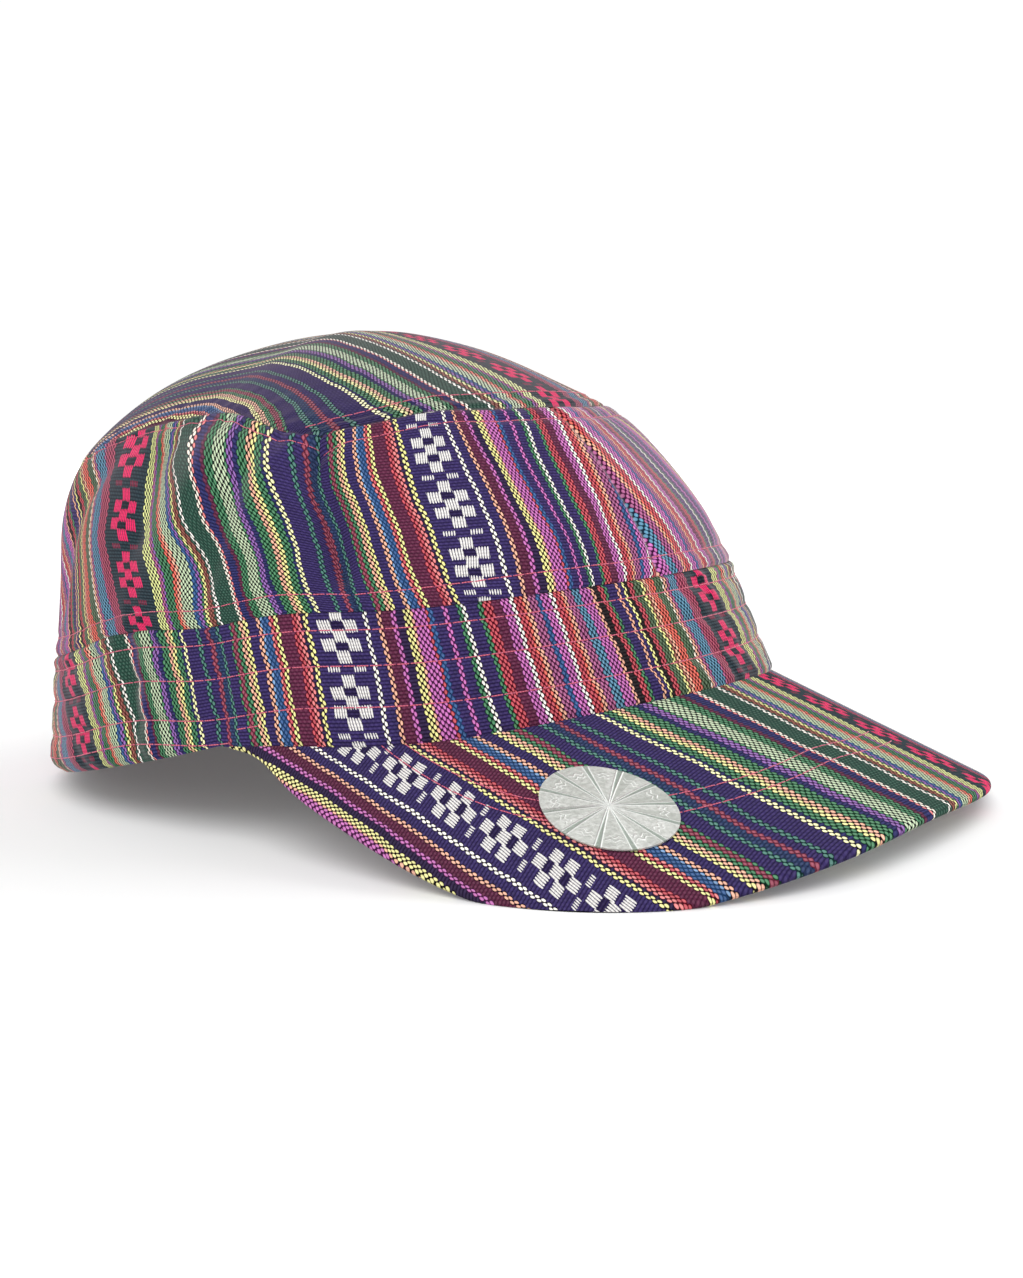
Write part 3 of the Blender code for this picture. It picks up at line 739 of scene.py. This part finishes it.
# How deep the gathers are along the low, high, left and right seam of a panel
FRONT_GATHERS = (0.00012, 0.00010, 0.00012, 0.00018)
SIDE_GATHERS = (0.00022, 0.00022, 0.00020, 0.00012)
TOP_GATHERS = (0.00012, 0.00012, 0.00016, 0.00016)
# The grooves that the stitched rows pull in, by the seam each is measured from and how far away
FRONT_GROOVES = (("low", 0.0050), ("high", 0.0055))
SIDE_GROOVES = (("low", 0.0050), ("high", 0.0040))
TOP_GROOVES = (("low", 0.0045),)


def section(column, level):
    """Smooth value of one crown column at a level."""
    table = CROWN_SECTIONS[::-1]
    return smooth_between(table[:, 0], table[:, CROWN_COLUMNS.index(column)], level)


def smooth_crown(side, ahead):
    """Point of the crown without its folds, from its place in the crown's disc."""
    level = np.hypot(side, ahead)
    angle = np.arctan2(side, ahead)
    front = np.where(ahead > 0, np.cos(angle) ** 2, 0)
    back = np.where(ahead > 0, 0, np.cos(angle) ** 2)
    flank = np.sin(angle) ** 2
    reach, rise = (front * section("front_" + way, level) + flank * section("side_" + way, level)
                   + back * section("back_" + way, level) for way in ("reach", "rise"))
    seam = band_top(angle)
    return np.stack([seam[..., 0] * reach, seam[..., 1] * reach,
                     seam[..., 2] * (1 - rise) + CROWN_HEIGHT * rise], -1)


def crown_normal(side, ahead, step=1e-4):
    """Outward normal of the smooth crown at a place in its disc."""
    along_side = smooth_crown(side + step, ahead) - smooth_crown(side - step, ahead)
    along_ahead = smooth_crown(side, ahead + step) - smooth_crown(side, ahead - step)
    normal = np.cross(along_side, along_ahead)
    return normal / np.linalg.norm(normal, axis=-1, keepdims=True)


def fold_depth(side, ahead):
    """How far the folds push the crown in at a place in its disc; nothing at the band seam."""
    total = np.zeros_like(side)
    for from_side, from_ahead, to_side, to_ahead, width, depth in FOLDS:
        run_side = to_side - from_side
        run_ahead = to_ahead - from_ahead
        along = (side - from_side) * run_side + (ahead - from_ahead) * run_ahead
        along = np.clip(along / (run_side ** 2 + run_ahead ** 2), 0, 1)
        away = np.hypot(side - from_side - along * run_side, ahead - from_ahead - along * run_ahead)
        total = total + depth * FOLD_DEPTH * hump(away, 0, width)
    rim = np.clip((1 - np.hypot(side, ahead)) / FOLD_FADE_SHARE, 0, 1)
    return total * rim * rim * (3 - 2 * rim)


def along_points(points, share):
    """Places along a chain of points, smoothed, by share of its length."""
    steps = np.concatenate([[0], np.cumsum(np.linalg.norm(np.diff(points, axis=0), axis=1))])
    steps = steps / steps[-1]
    share = np.atleast_1d(share)
    return np.stack([smooth_between(steps, points[:, part], share) for part in (0, 1)], -1)


def rim_arc(start, end, share):
    """Places on the disc's rim, the band seam, between two angles."""
    angle = start + (end - start) * share
    return np.stack([np.sin(angle), np.cos(angle)], -1)


def front_seam(share):
    """The seam between a front panel and the top panel, from the centre to the corner."""
    fall = FRONT_SEAM_SHARE - SEAM_CORNER[1]
    return np.stack([SEAM_CORNER[0] * share, FRONT_SEAM_SHARE - fall * share ** FRONT_SEAM_POWER], -1)


def centre_seam(share):
    """The centre-front seam, from the band up to the top panel."""
    return np.stack([np.zeros_like(share), 1 + (FRONT_SEAM_SHARE - 1) * share], -1)


def patch(low, high, left, right):
    """Grid of disc places between four seams, each given by its own evenly spaced places."""
    u = np.linspace(0, 1, len(low))[None, :, None]
    v = np.linspace(0, 1, len(left))[:, None, None]
    ruled = (1 - v) * low[None] + v * high[None] + (1 - u) * left[:, None] + u * right[:, None]
    corners = ((1 - u) * (1 - v) * low[0] + u * (1 - v) * low[-1]
               + (1 - u) * v * high[0] + u * v * high[-1])
    return ruled - corners


def through_three(table, share):
    """A parabola through three values, at 0, a half and 1."""
    start, middle, end = table
    return (start * 2 * (share - 0.5) * (share - 1) + middle * 4 * share * (1 - share)
            + end * 2 * share * (share - 0.5))


def eased_grid(table, u, v, leaning):
    """A smooth surface through a small table: its columns' u, its rows' v, and the rows of values.
    Where it leans, the columns spread apart towards the top."""
    columns, levels, rows = table
    u = u / (1 + LEAN_RATE * np.maximum(v - LEAN_START, 0) * leaning)
    total = 0
    for index, row in enumerate(rows):
        share = np.zeros(len(rows))
        share[index] = 1
        total = total + smooth_between(columns, row, u) * smooth_between(levels, share, v)
    return total


def crown_panel(name, node, places, lay, drawn, picks, drawn_up, grooves, material):
    """A panel of the crown. Its lay and picks give its place on the cloth, drawn where the stripes
    are drawn aside, and drawn_up how deep the gathers are at its four seams."""
    side, ahead = places[..., 0], places[..., 1]
    normal = crown_normal(side, ahead)
    base = smooth_crown(side, ahead) - normal * fold_depth(side, ahead)[..., None]
    low, high, left, right = from_borders(base)
    relief = turned_edge(low, 0.0016, 0.0007) + turned_edge(high) + turned_edge(left) + turned_edge(right)
    for border, row in grooves:
        relief += sewn_groove({"low": low, "high": high, "left": left, "right": right}[border], row)
    for turn, (away, run) in enumerate(((low, left), (high, left), (left, low), (right, low))):
        relief += gathers(away, run, drawn_up[turn], GATHER_REACH, 0.9 + 1.7 * turn)
    outer = base + normal * relief[..., None]
    inner = outer - normal * CLOTH_WALL
    u = np.linspace(0, 1, places.shape[1])[None, :]
    v = np.linspace(0, 1, places.shape[0])[:, None]
    across = through_three([through_three(values, u) for values in lay], v)
    across = across + eased_grid(drawn, u, v, node.startswith("side"))
    start, height, easing, slope, skew = picks
    share = low / (low + high)
    along = start + height * share * (1 + easing - easing * share) - slope * 1000 * left
    piece = cloth_wall(name, outer, inner, across, along, skew, material)
    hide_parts(node)
    return outer, normal


CROWN_CLOTH = cloth_material("crown_cloth", 0.18, 0.12)
# The wearer's left front panel has its own copy with much more painted sheen and a little less fading
LEFT_CLOTH_MORE_SHEEN = cloth_material("left_cloth_more_sheen", 0.13, 0.45)
TOP_CLOTH = cloth_material("top_cloth", 0.34, 0.16)
MIRROR = np.array([-1, 1])
across_share, up_share = (np.linspace(0, 1, steps + 1) for steps in FRONT_MESH)
front_places = patch(rim_arc(0, FRONT_PANEL_END, across_share), front_seam(across_share),
                     centre_seam(up_share), along_points(SIDE_SEAM, 1 - up_share))
across_share, up_share = (np.linspace(0, 1, steps + 1) for steps in SIDE_MESH)
side_places = patch(rim_arc(FRONT_PANEL_END, TAIL_END, across_share),
                    along_points(TOP_SEAM, TAIL_START_SHARE * across_share),
                    along_points(SIDE_SEAM, 1 - up_share),
                    along_points(TOP_SEAM, 1 - (1 - TAIL_START_SHARE) * up_share))
across_share, up_share = (np.linspace(0, 1, steps + 1) for steps in TOP_MESH)
whole_front = front_seam(np.abs(2 * across_share - 1))
whole_front[across_share < 0.5] *= MIRROR
top_places = patch(whole_front, rim_arc(-TAIL_END, TAIL_END - 2 * np.pi, across_share),
                   MIRROR * along_points(TOP_SEAM, up_share), along_points(TOP_SEAM, up_share))

# The place across the cloth at the left, middle and right of a panel's bottom, middle and top
FRONT_LAY_RIGHT = ((160.0, 116.5, 72.5), (155.0, 116.5, 72.5), (151.0, 118.3, 75.5))
FRONT_LAY_LEFT = ((171.0, 128.0, 84.0), (163.5, 119.5, 76.0), (158.0, 114.0, 70.0))
SIDE_LAY_RIGHT = ((72.0, -29.0, -125.0), (71.5, -3.0, -85.0), (74.5, 24.0, -35.0))
SIDE_LAY_LEFT = ((84.0, 180.0, 275.0), (80.0, 156.0, 235.0), (74.0, 125.0, 185.0))
TOP_LAY = ((-50.0, 14.0, 74.5), (-56.0, 14.0, 90.0), (-24.0, 14.0, 52.0))
# Where the picks lie on each panel: first place, height and its easing, slope to the side, and slant
FRONT_PICKS = (17.1, 49.5, 0.133, 0.11, -0.155)
SIDE_PICKS = (12.0, 52.4, 0.40, 0.11, 0.0)
TOP_PICKS = (3.0, 222.0, 0.0, 0.0, 0.0)
# Where wear and sewing have drawn the stripes aside, in millimetres of cloth
FRONT_DRAWN_RIGHT = ((0.00, 0.13, 0.25, 0.37, 0.50, 0.65, 0.80, 0.92, 1.00), (0.0, 0.10, 0.47, 0.82, 1.0), (
    (-0.5, -1.0, -1.0, -2.0, -0.8, 0.2, 0.8, 1.0, 0.4),
    (-0.8, -1.5, -1.3, -2.6, -1.0, 0.3, 1.0, 1.0, 0.3),
    (-1.4, -0.2, 0.5, -0.6, -0.9, 0.0, 0.7, -0.2, -1.4),
    (-3.0, -1.8, -2.2, -1.4, 0.0, -0.8, 0.7, 0.3, -0.3),
    (-3.0, -2.0, -2.2, -1.2, 0.2, -0.8, 0.8, 0.4, 0.0)))
FRONT_DRAWN_LEFT = ((0.00, 0.06, 0.15, 0.25, 0.35, 1.00), (0.0, 0.25, 0.5, 0.7, 0.94, 1.0), (
    (-1.8, -0.2, 1.0, 1.5, 1.0, 0.0),
    (-1.8, 0.0, 1.2, 1.0, 0.3, 0.0),
    (-1.2, 0.4, 1.8, 1.0, 0.5, 0.0),
    (-0.8, 0.6, 2.5, 1.0, 0.5, 0.0),
    (0.8, 2.4, 4.5, 4.0, 2.0, 0.0),
    (1.0, 2.8, 5.0, 4.5, 2.5, 0.0)))
SIDE_DRAWN_RIGHT = ((0.0, 0.05, 0.10, 0.15, 0.20, 0.25, 0.30, 0.34, 0.38, 0.45, 0.62, 1.0),
                    (0.0, 0.08, 0.35, 0.50, 0.65, 0.90, 1.0), (
    (1.0, 2.3, 3.8, 3.8, 2.8, 3.2, 2.8, 2.0, 0.2, -1.0, -1.5, 0.0),
    (1.0, 2.3, 3.8, 3.8, 2.0, 3.2, 2.5, 2.0, 0.6, -0.8, -2.0, 0.0),
    (0.5, 0.9, 1.0, 0.8, 1.8, -0.2, -0.3, 0.4, 1.0, 0.8, -4.0, 0.0),
    (0.0, 0.0, 1.0, 2.0, 3.2, 3.0, 2.0, 1.0, 0.4, 1.2, -3.5, 0.0),
    (0.0, -0.5, 1.0, 2.8, 3.5, 3.7, 3.2, 2.4, 0.8, -1.0, -3.2, 0.0),
    (0.3, 0.4, 3.0, 5.5, 7.0, 9.5, 13.0, 7.5, -0.5, 1.6, 1.0, 0.0),
    (0.0, 0.4, 3.0, 5.5, 7.2, 9.5, 12.0, 6.5, -0.5, 1.5, 1.0, 0.0)))
SIDE_DRAWN_LEFT = ((0.0, 0.5, 1.0), (0.0, 0.5, 1.0), (
    (0.0, 0.0, 0.0),
    (2.0, -2.0, 2.0),
    (0.0, 0.0, 0.0)))
TOP_DRAWN = ((0.00, 0.45, 0.60, 0.73, 0.84, 0.92, 1.00), (0.0, 0.08, 0.20, 0.28, 0.39, 0.55, 1.0), (
    (0.0, 0.0, 0.0, -0.5, 2.0, 1.0, -1.0),
    (0.0, -1.0, -2.0, -2.0, 0.5, -1.0, -2.0),
    (0.0, -5.0, -4.5, -3.5, -3.0, -3.0, -2.5),
    (0.0, -5.0, -4.0, -3.0, -2.5, -3.0, -2.5),
    (0.0, -3.0, -2.0, -1.0, 1.5, 1.0, 0.5),
    (0.0, 0.0, 0.0, 0.0, 2.0, 1.5, 0.0),
    (0.0, 0.0, 0.0, 0.0, 0.0, 0.0, 0.0)))
front_right = crown_panel("cloth_front_right", "front_panel_right", front_places, FRONT_LAY_RIGHT,
                          FRONT_DRAWN_RIGHT, FRONT_PICKS, FRONT_GATHERS, FRONT_GROOVES, CROWN_CLOTH)
front_left = crown_panel("cloth_front_left", "front_panel_left", front_places * MIRROR, FRONT_LAY_LEFT,
                         FRONT_DRAWN_LEFT, FRONT_PICKS, FRONT_GATHERS, FRONT_GROOVES, LEFT_CLOTH_MORE_SHEEN)
side_right = crown_panel("cloth_side_right", "side_panel_right", side_places, SIDE_LAY_RIGHT,
                         SIDE_DRAWN_RIGHT, SIDE_PICKS, SIDE_GATHERS, SIDE_GROOVES, CROWN_CLOTH)
side_left = crown_panel("cloth_side_left", "side_panel_left", side_places * MIRROR, SIDE_LAY_LEFT,
                        SIDE_DRAWN_LEFT, SIDE_PICKS, SIDE_GATHERS, SIDE_GROOVES, CROWN_CLOTH)
top = crown_panel("cloth_top", "top_panel", top_places, TOP_LAY,
                  TOP_DRAWN, TOP_PICKS, TOP_GATHERS, TOP_GROOVES, TOP_CLOTH)


# The stitching: pink thread in single rows through the band, above and below every crown seam and
# across the peak, each stitch a short run of thread that dips into the cloth at both ends.
STITCH_STEP = 0.0030
STITCH_GAP = 0.0001
STITCH_RADIUS = 0.00014
STITCH_SIDES = 6
STITCH_LOOK_AHEAD = 0.0002
THREAD_FLATNESS = 0.8
THREAD_DEEP = (176, 58, 88)
THREAD_PALE = (222, 112, 136)
LOW_ROW = 0.0240
LOW_ROW_DROP = 0.0028
LOW_ROW_START = math.radians(67.5)
LOW_ROW_END = math.radians(72.6)
# The peak's rows: how far from the edge each lies at its ends and in the middle, and the columns
# of the peak that they cross
PEAK_ROWS = ((0.0182, 0.0232), (0.0231, 0.0282))
PEAK_ROW_SPAN = slice(24, PEAK_MESH[0] - 102)
# Where they swing further in, as shares of the peak's edge, and how far
PEAK_ROW_SWINGS = ((0.18, 0.11, 0.0026), (0.08, 0.08, 0.0038))
# Along a stitch: share of its length, how high it stands, and how full the thread is there
STITCH_PROFILE = ((0.00, -0.00016, 0.7), (0.08, 0.00001, 1.0), (0.35, 0.00007, 1.0),
                  (0.65, 0.00007, 1.0), (0.92, 0.00001, 1.0), (1.00, -0.00016, 0.7))


def thread_material(name):
    """Glossy pink sewing thread with the twist of its plies, painted pale on their crests and deep in the
    shade between them.
    """
    material, tree, shader = finish(name, Roughness=0.5, Sheen_Weight=0.1)
    along, around, _ = parts_of(own_place(tree))
    twist = (along * 9.0 + around).sine() * 0.5 + 0.5
    # Painted light and shade of the twist: pale on the plies' crests, deep between them
    feed(tree, shader.inputs["Base Color"], blend_color(twist, tint(THREAD_DEEP), tint(THREAD_PALE)))
    feed(tree, shader.inputs["Normal"], raised_normal(twist, 0.5, 0.00008))
    return material


def row_on(points, normals, away, distance):
    """Places and normals along a row that keeps its distance from a border of a grid."""
    if away[0, 0] > away[-1, 0]:
        points, normals, away = points[::-1], normals[::-1], away[::-1]
    distance = np.broadcast_to(distance, away.shape[1])
    return [np.array([[np.interp(distance[j], away[:, j], source[:, j, part]) for part in range(3)]
                      for j in range(away.shape[1])]) for source in (points, normals)]


def band_row(distance, span=slice(None)):
    """A row along the headband, or over one span of it, at its distance from the top edge."""
    return row_on(band_outer[:, span], band_normal[:, span], high_off[:, span], distance)


def sew(rows, name, material):
    """One mesh of stitches along rows of places with their normals."""
    points, faces, place = [], [], []
    sides = np.arange(STITCH_SIDES) * 2 * np.pi / STITCH_SIDES
    for line, normals in rows:
        run = np.concatenate([[0], np.cumsum(np.linalg.norm(np.diff(line, axis=0), axis=1))])
        for start in np.arange(STITCH_GAP, run[-1] - STITCH_STEP, STITCH_STEP):
            first = len(points)
            for share, rise, full in STITCH_PROFILE:
                at = start + share * (STITCH_STEP - STITCH_GAP)
                here, ahead, up = (
                    np.array([np.interp(spot, run, source[:, part]) for part in range(3)])
                    for spot, source in ((at, line), (at + STITCH_LOOK_AHEAD, line), (at, normals)))
                along = ahead - here
                over = np.cross(along / np.linalg.norm(along), up)
                for side in sides:
                    offset = over * math.cos(side) + up * math.sin(side) * THREAD_FLATNESS
                    points.append(here + up * rise + offset * STITCH_RADIUS * full)
                    place.append((at * 1000, side, 0))
            rings = len(STITCH_PROFILE)
            for ring in range(rings - 1):
                for side in range(STITCH_SIDES):
                    after = (side + 1) % STITCH_SIDES
                    low, high = first + ring * STITCH_SIDES, first + (ring + 1) * STITCH_SIDES
                    faces.append((low + side, low + after, high + after, high + side))
            faces.append([first + side for side in range(STITCH_SIDES)][::-1])
            faces.append([first + (rings - 1) * STITCH_SIDES + side for side in range(STITCH_SIDES)])
    piece = cap_piece(name, np.array(points), faces, place, material)


PINK_THREAD = thread_material("pink_thread")
band_rows = [band_row(distance) for distance in BAND_ROWS]
for hand in (1, -1):
    # The lowest row starts beside the peak's corner, drops a little and runs on to the back
    behind = band_angle * hand > LOW_ROW_END
    ahead = (band_angle * hand > LOW_ROW_START) & ~behind
    band_rows += [band_row(LOW_ROW, ahead), band_row(LOW_ROW + LOW_ROW_DROP, behind)]
    nearest = 0 if hand > 0 else -1
    upper, lower = ([line[nearest] for line in band_row(distance, behind)]
                    for distance in (LOW_ROW, LOW_ROW + LOW_ROW_DROP))
    band_rows.append([start + (end - start) * np.linspace(0, 1, 5)[:, None]
                      for start, end in zip(upper, lower)])
sew(band_rows, "stitching_band", PINK_THREAD)
crown_rows = []
for (points, normals), low_row, high_row in (
        (front_right, 0.0050, 0.0060), (front_left, 0.0050, 0.0060), (side_right, 0.0050, 0.0040),
        (side_left, 0.0050, 0.0040), (top, 0.0070, 0.0050)):
    from_low, from_high, _, _ = from_borders(points)
    crown_rows += [row_on(points, normals, from_low, low_row), row_on(points, normals, from_high, high_row)]
sew(crown_rows, "stitching_crown", PINK_THREAD)
peak_rows = []
stitched = peak_share[PEAK_ROW_SPAN]
for nearest, farthest in PEAK_ROWS:
    middle = 1 - np.abs(2 * stitched - 1)
    wanted = nearest + (farthest - nearest) * middle ** 2
    for place, width, much in PEAK_ROW_SWINGS:
        wanted = wanted + much * hump(stitched, place, width)
    peak_rows.append(row_on(peak_top[:, PEAK_ROW_SPAN], peak_up[:, PEAK_ROW_SPAN],
                            from_edge[:, PEAK_ROW_SPAN], wanted))
sew(peak_rows, "stitching_peak", PINK_THREAD)


# The sticker: a thin disc of embossed silver foil stuck on the peak, with plain spokes and a
# scalloped ring pressed into it.
STICKER_RADIUS = 0.0155
STICKER_THICKNESS = 0.0004
STICKER_SHAPE = ((0.866, -0.134), (-0.134, 0.861))
STICKER_SIDE_SHARE = 0.603
STICKER_AHEAD_SHARE = 0.221
STICKER_MESH = (120, 30)
SPOKES = 12
SPOKE_LINE = 0.26
SCALLOP_LINE = 0.30
SCALLOP_DEPTH = 0.35
SCALLOP_RADII = (12.6, 11.4)
FOIL_MIDDLE_SHARE = 0.02
# Painted reflections of the foil, painted shade in its grooves and a painted highlight on its raised lines
FOIL_DIM_REFLECTION = (158, 162, 152)
FOIL_BRIGHT_REFLECTION = (255, 255, 252)
FOIL_SECTOR_REFLECTION = (176, 180, 172)
FOIL_GROOVE_SHADE = (140, 154, 142)
FOIL_RAISED_HIGHLIGHT = (252, 254, 250)


def foil_material(name):
    """Matt silver foil, pressed with double spokes and a scalloped ring, with its reflections, highlights
    and shade painted into its colour.
    """
    material, tree, shader = finish(name, Metallic=0.35, Roughness=0.38)
    turn, out, _ = parts_of(own_place(tree))
    sector = turn * (SPOKES / (2 * math.pi))
    off_spoke = abs(sector - round(sector)) * (2 * math.pi / SPOKES) * out
    half = out * 0.038 + 0.10
    line = (1.0 - abs(off_spoke - half) / SPOKE_LINE).at_least(0.0)
    groove = off_spoke < half
    wave = (turn * (SPOKES * 3)).cosine() * SCALLOP_DEPTH
    outer_ring, inner_ring = ((1.0 - abs(out + wave - radius) / SCALLOP_LINE).at_least(0.0)
                              for radius in SCALLOP_RADII)
    ring = outer_ring.at_least(inner_ring) * (off_spoke > half + 0.7)
    crumple = noise_at(place_of(out * turn.cosine(), out * turn.sine()), 0.9, 5.0)
    raised = line + ring * 0.7
    # Painted reflections: the crumpled foil painted dim in some patches and bright in others
    color = blend_color(crumple, tint(FOIL_DIM_REFLECTION), tint(FOIL_BRIGHT_REFLECTION))
    # Painted reflection: some half-sectors painted darker
    color = blend_color(random_at(math.floor(sector * 2.0), 0.4) * 0.7, color, tint(FOIL_SECTOR_REFLECTION))
    # Painted shade in the grooves between each spoke's double lines
    color = blend_color(groove * 0.75, color, tint(FOIL_GROOVE_SHADE))
    # Painted highlight on the raised lines and the scalloped ring
    color = blend_color(raised, color, tint(FOIL_RAISED_HIGHLIGHT))
    feed(tree, shader.inputs["Base Color"], color)
    feed(tree, shader.inputs["Normal"], raised_normal(raised + crumple * 1.2, 0.8, 0.0003))
    return material


foil_turn = np.linspace(0, 2 * np.pi, STICKER_MESH[0] + 1)[:-1]
foil_ring = np.linspace(1, FOIL_MIDDLE_SHARE, STICKER_MESH[1] + 1)[:, None]
foil_x = np.array(-HAT_WIDTH / 2 * STICKER_SIDE_SHARE)
foil_y = np.array(-HAT_LENGTH / 2 - PEAK_LENGTH * STICKER_AHEAD_SHARE)
lean = peak_normal(foil_x, foil_y)
level = np.array([lean[1], -lean[0]]) / math.hypot(lean[0], lean[1])
fall = np.array([lean[0], lean[1]]) / math.hypot(lean[0], lean[1]) * lean[2]
foil_round = np.stack([np.cos(foil_turn), np.sin(foil_turn)])
foil_level, foil_fall = STICKER_RADIUS * np.array(STICKER_SHAPE) @ foil_round
foil_x = foil_x + foil_ring * (level[0] * foil_level + fall[0] * foil_fall)
foil_y = foil_y + foil_ring * (level[1] * foil_level + fall[1] * foil_fall)
foil_face = np.stack([foil_x, foil_y, peak_height(foil_x, foil_y)], -1)
foil_up = peak_normal(foil_x, foil_y)
foil_low = foil_face + foil_up * SEAM_GAP
foil_high = foil_face + foil_up * (SEAM_GAP + STICKER_THICKNESS)
rings, spots = foil_high.shape[:2]
foil_points = np.concatenate([foil_high.reshape(-1, 3), foil_low.reshape(-1, 3)])
foil_faces = []
for ring in range(rings - 1):
    for spot in range(spots):
        after = (spot + 1) % spots
        quad = (ring * spots + spot, ring * spots + after,
                (ring + 1) * spots + after, (ring + 1) * spots + spot)
        foil_faces.append(quad)
        foil_faces.append(tuple(corner + rings * spots for corner in quad[::-1]))
for spot in range(spots):
    after = (spot + 1) % spots
    foil_faces.append((after, spot, spot + rings * spots, after + rings * spots))
foil_faces.append([(rings - 1) * spots + spot for spot in range(spots)])
foil_faces.append([(2 * rings - 1) * spots + spot for spot in range(spots)][::-1])
foil_place = np.stack([foil_turn + 0 * foil_ring, 1000 * STICKER_RADIUS * foil_ring + 0 * foil_turn,
                       0 * foil_ring + 0 * foil_turn], -1).reshape(-1, 3)
foil_sticker = cap_piece("foil_sticker", foil_points, foil_faces, np.tile(foil_place, (2, 1)),
                         foil_material("pressed_foil"))
foil_sticker.data.set_sharp_from_angle(angle=math.radians(50))
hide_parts("peak_sticker")


# The table top: a plain pale surface that the cap rests on, under soft light from above and from
# both sides. It glows a little, so that it stays as pale as the photograph's ground.
TABLE_REACH = 4
TABLE_COLOR = (0.86, 0.86, 0.86, 1)
GLOW_NEAR = (0.10, 0.10, 0.10, 1)
GLOW_FAR = (0.5, 0.5, 0.5, 1)


def stage_finish(name, color):
    """A matt pale finish that glows faintly under the cap and more strongly away from it."""
    material, tree, shader = finish(name, Base_Color=color, Roughness=0.9, Emission_Strength=1.0)
    spot = shader_node(tree, "TexCoord", give="Object")
    distance = shader_node(tree, "VectorMath", {0: spot}, "Value", operation="LENGTH")
    away = ((distance - 0.25) * 0.9).clamped()
    feed(tree, shader.inputs["Emission Color"], blend_color(away, GLOW_NEAR, GLOW_FAR))
    return material


floor_mesh = bpy.data.meshes.new("table_top")
table_corners = [(x * TABLE_REACH, y * TABLE_REACH, 0) for x, y in ((-1, -1), (1, -1), (1, 1), (-1, 1))]
floor_mesh.from_pydata(table_corners, [], [(0, 1, 2, 3)])
floor_mesh.materials.append(stage_finish("pale_table", TABLE_COLOR))
table_top = bpy.data.objects.new("table_top", floor_mesh)
bpy.context.scene.collection.objects.link(table_top)


def soft_light(name, source, spread, power):
    """A wide soft light from far away, towards the cap; spread is its width in degrees."""
    light = bpy.data.lights.new(name, "SUN")
    light.angle = math.radians(spread)
    light.energy = power
    holder = bpy.data.objects.new(name, light)
    holder.rotation_euler = Vector(source).to_track_quat("Z", "Y").to_euler()
    bpy.context.scene.collection.objects.link(holder)


soft_light("light_above", (-0.55, -0.35, 1.0), 50, 1.58)
soft_light("light_left", (-0.8, 0.9, 0.5), 60, 0.35)
soft_light("light_right", (0.9, -0.35, 0.5), 60, 1.35)
world = bpy.data.worlds.new("studio")
world.use_nodes = True
sky = world.node_tree
# Brighter round the sides than overhead and below
_, _, height = parts_of(shader_node(sky, "TexCoord", give="Generated"))
feed(sky, sky.nodes["Background"].inputs["Color"], (1, 1, 1, 1))
feed(sky, sky.nodes["Background"].inputs["Strength"], (1.6 - abs(height) * 2.2).clamped() * 0.62 + 0.40)
bpy.context.scene.world = world
bpy.context.scene.view_settings.view_transform = "Standard"


# The camera stands where the photograph was taken: in front of the cap and to the wearer's right,
# a little above the table top. Its place, its turn and its lens were fitted to the photograph.
CAMERA_PLACE = (-0.2934, -0.2811, 0.0943)
CAMERA_RIGHT = (0.6697, -0.7418, -0.0352)
CAMERA_UP = (0.1293, 0.0698, 0.9891)
CAMERA_BACK = (-0.7313, -0.6670, 0.1427)
PHOTO_HEIGHT = 1278
FOCAL_PIXELS = 1535.1
camera = bpy.data.cameras.new("camera")
camera.sensor_width = 36
camera.lens = FOCAL_PIXELS * camera.sensor_width / PHOTO_HEIGHT
camera.clip_start = 0.01
stand = bpy.data.objects.new("camera", camera)
turned = Matrix((CAMERA_RIGHT, CAMERA_UP, CAMERA_BACK)).transposed().to_4x4()
stand.matrix_world = Matrix.Translation(CAMERA_PLACE) @ turned
bpy.context.scene.collection.objects.link(stand)
bpy.context.scene.camera = stand
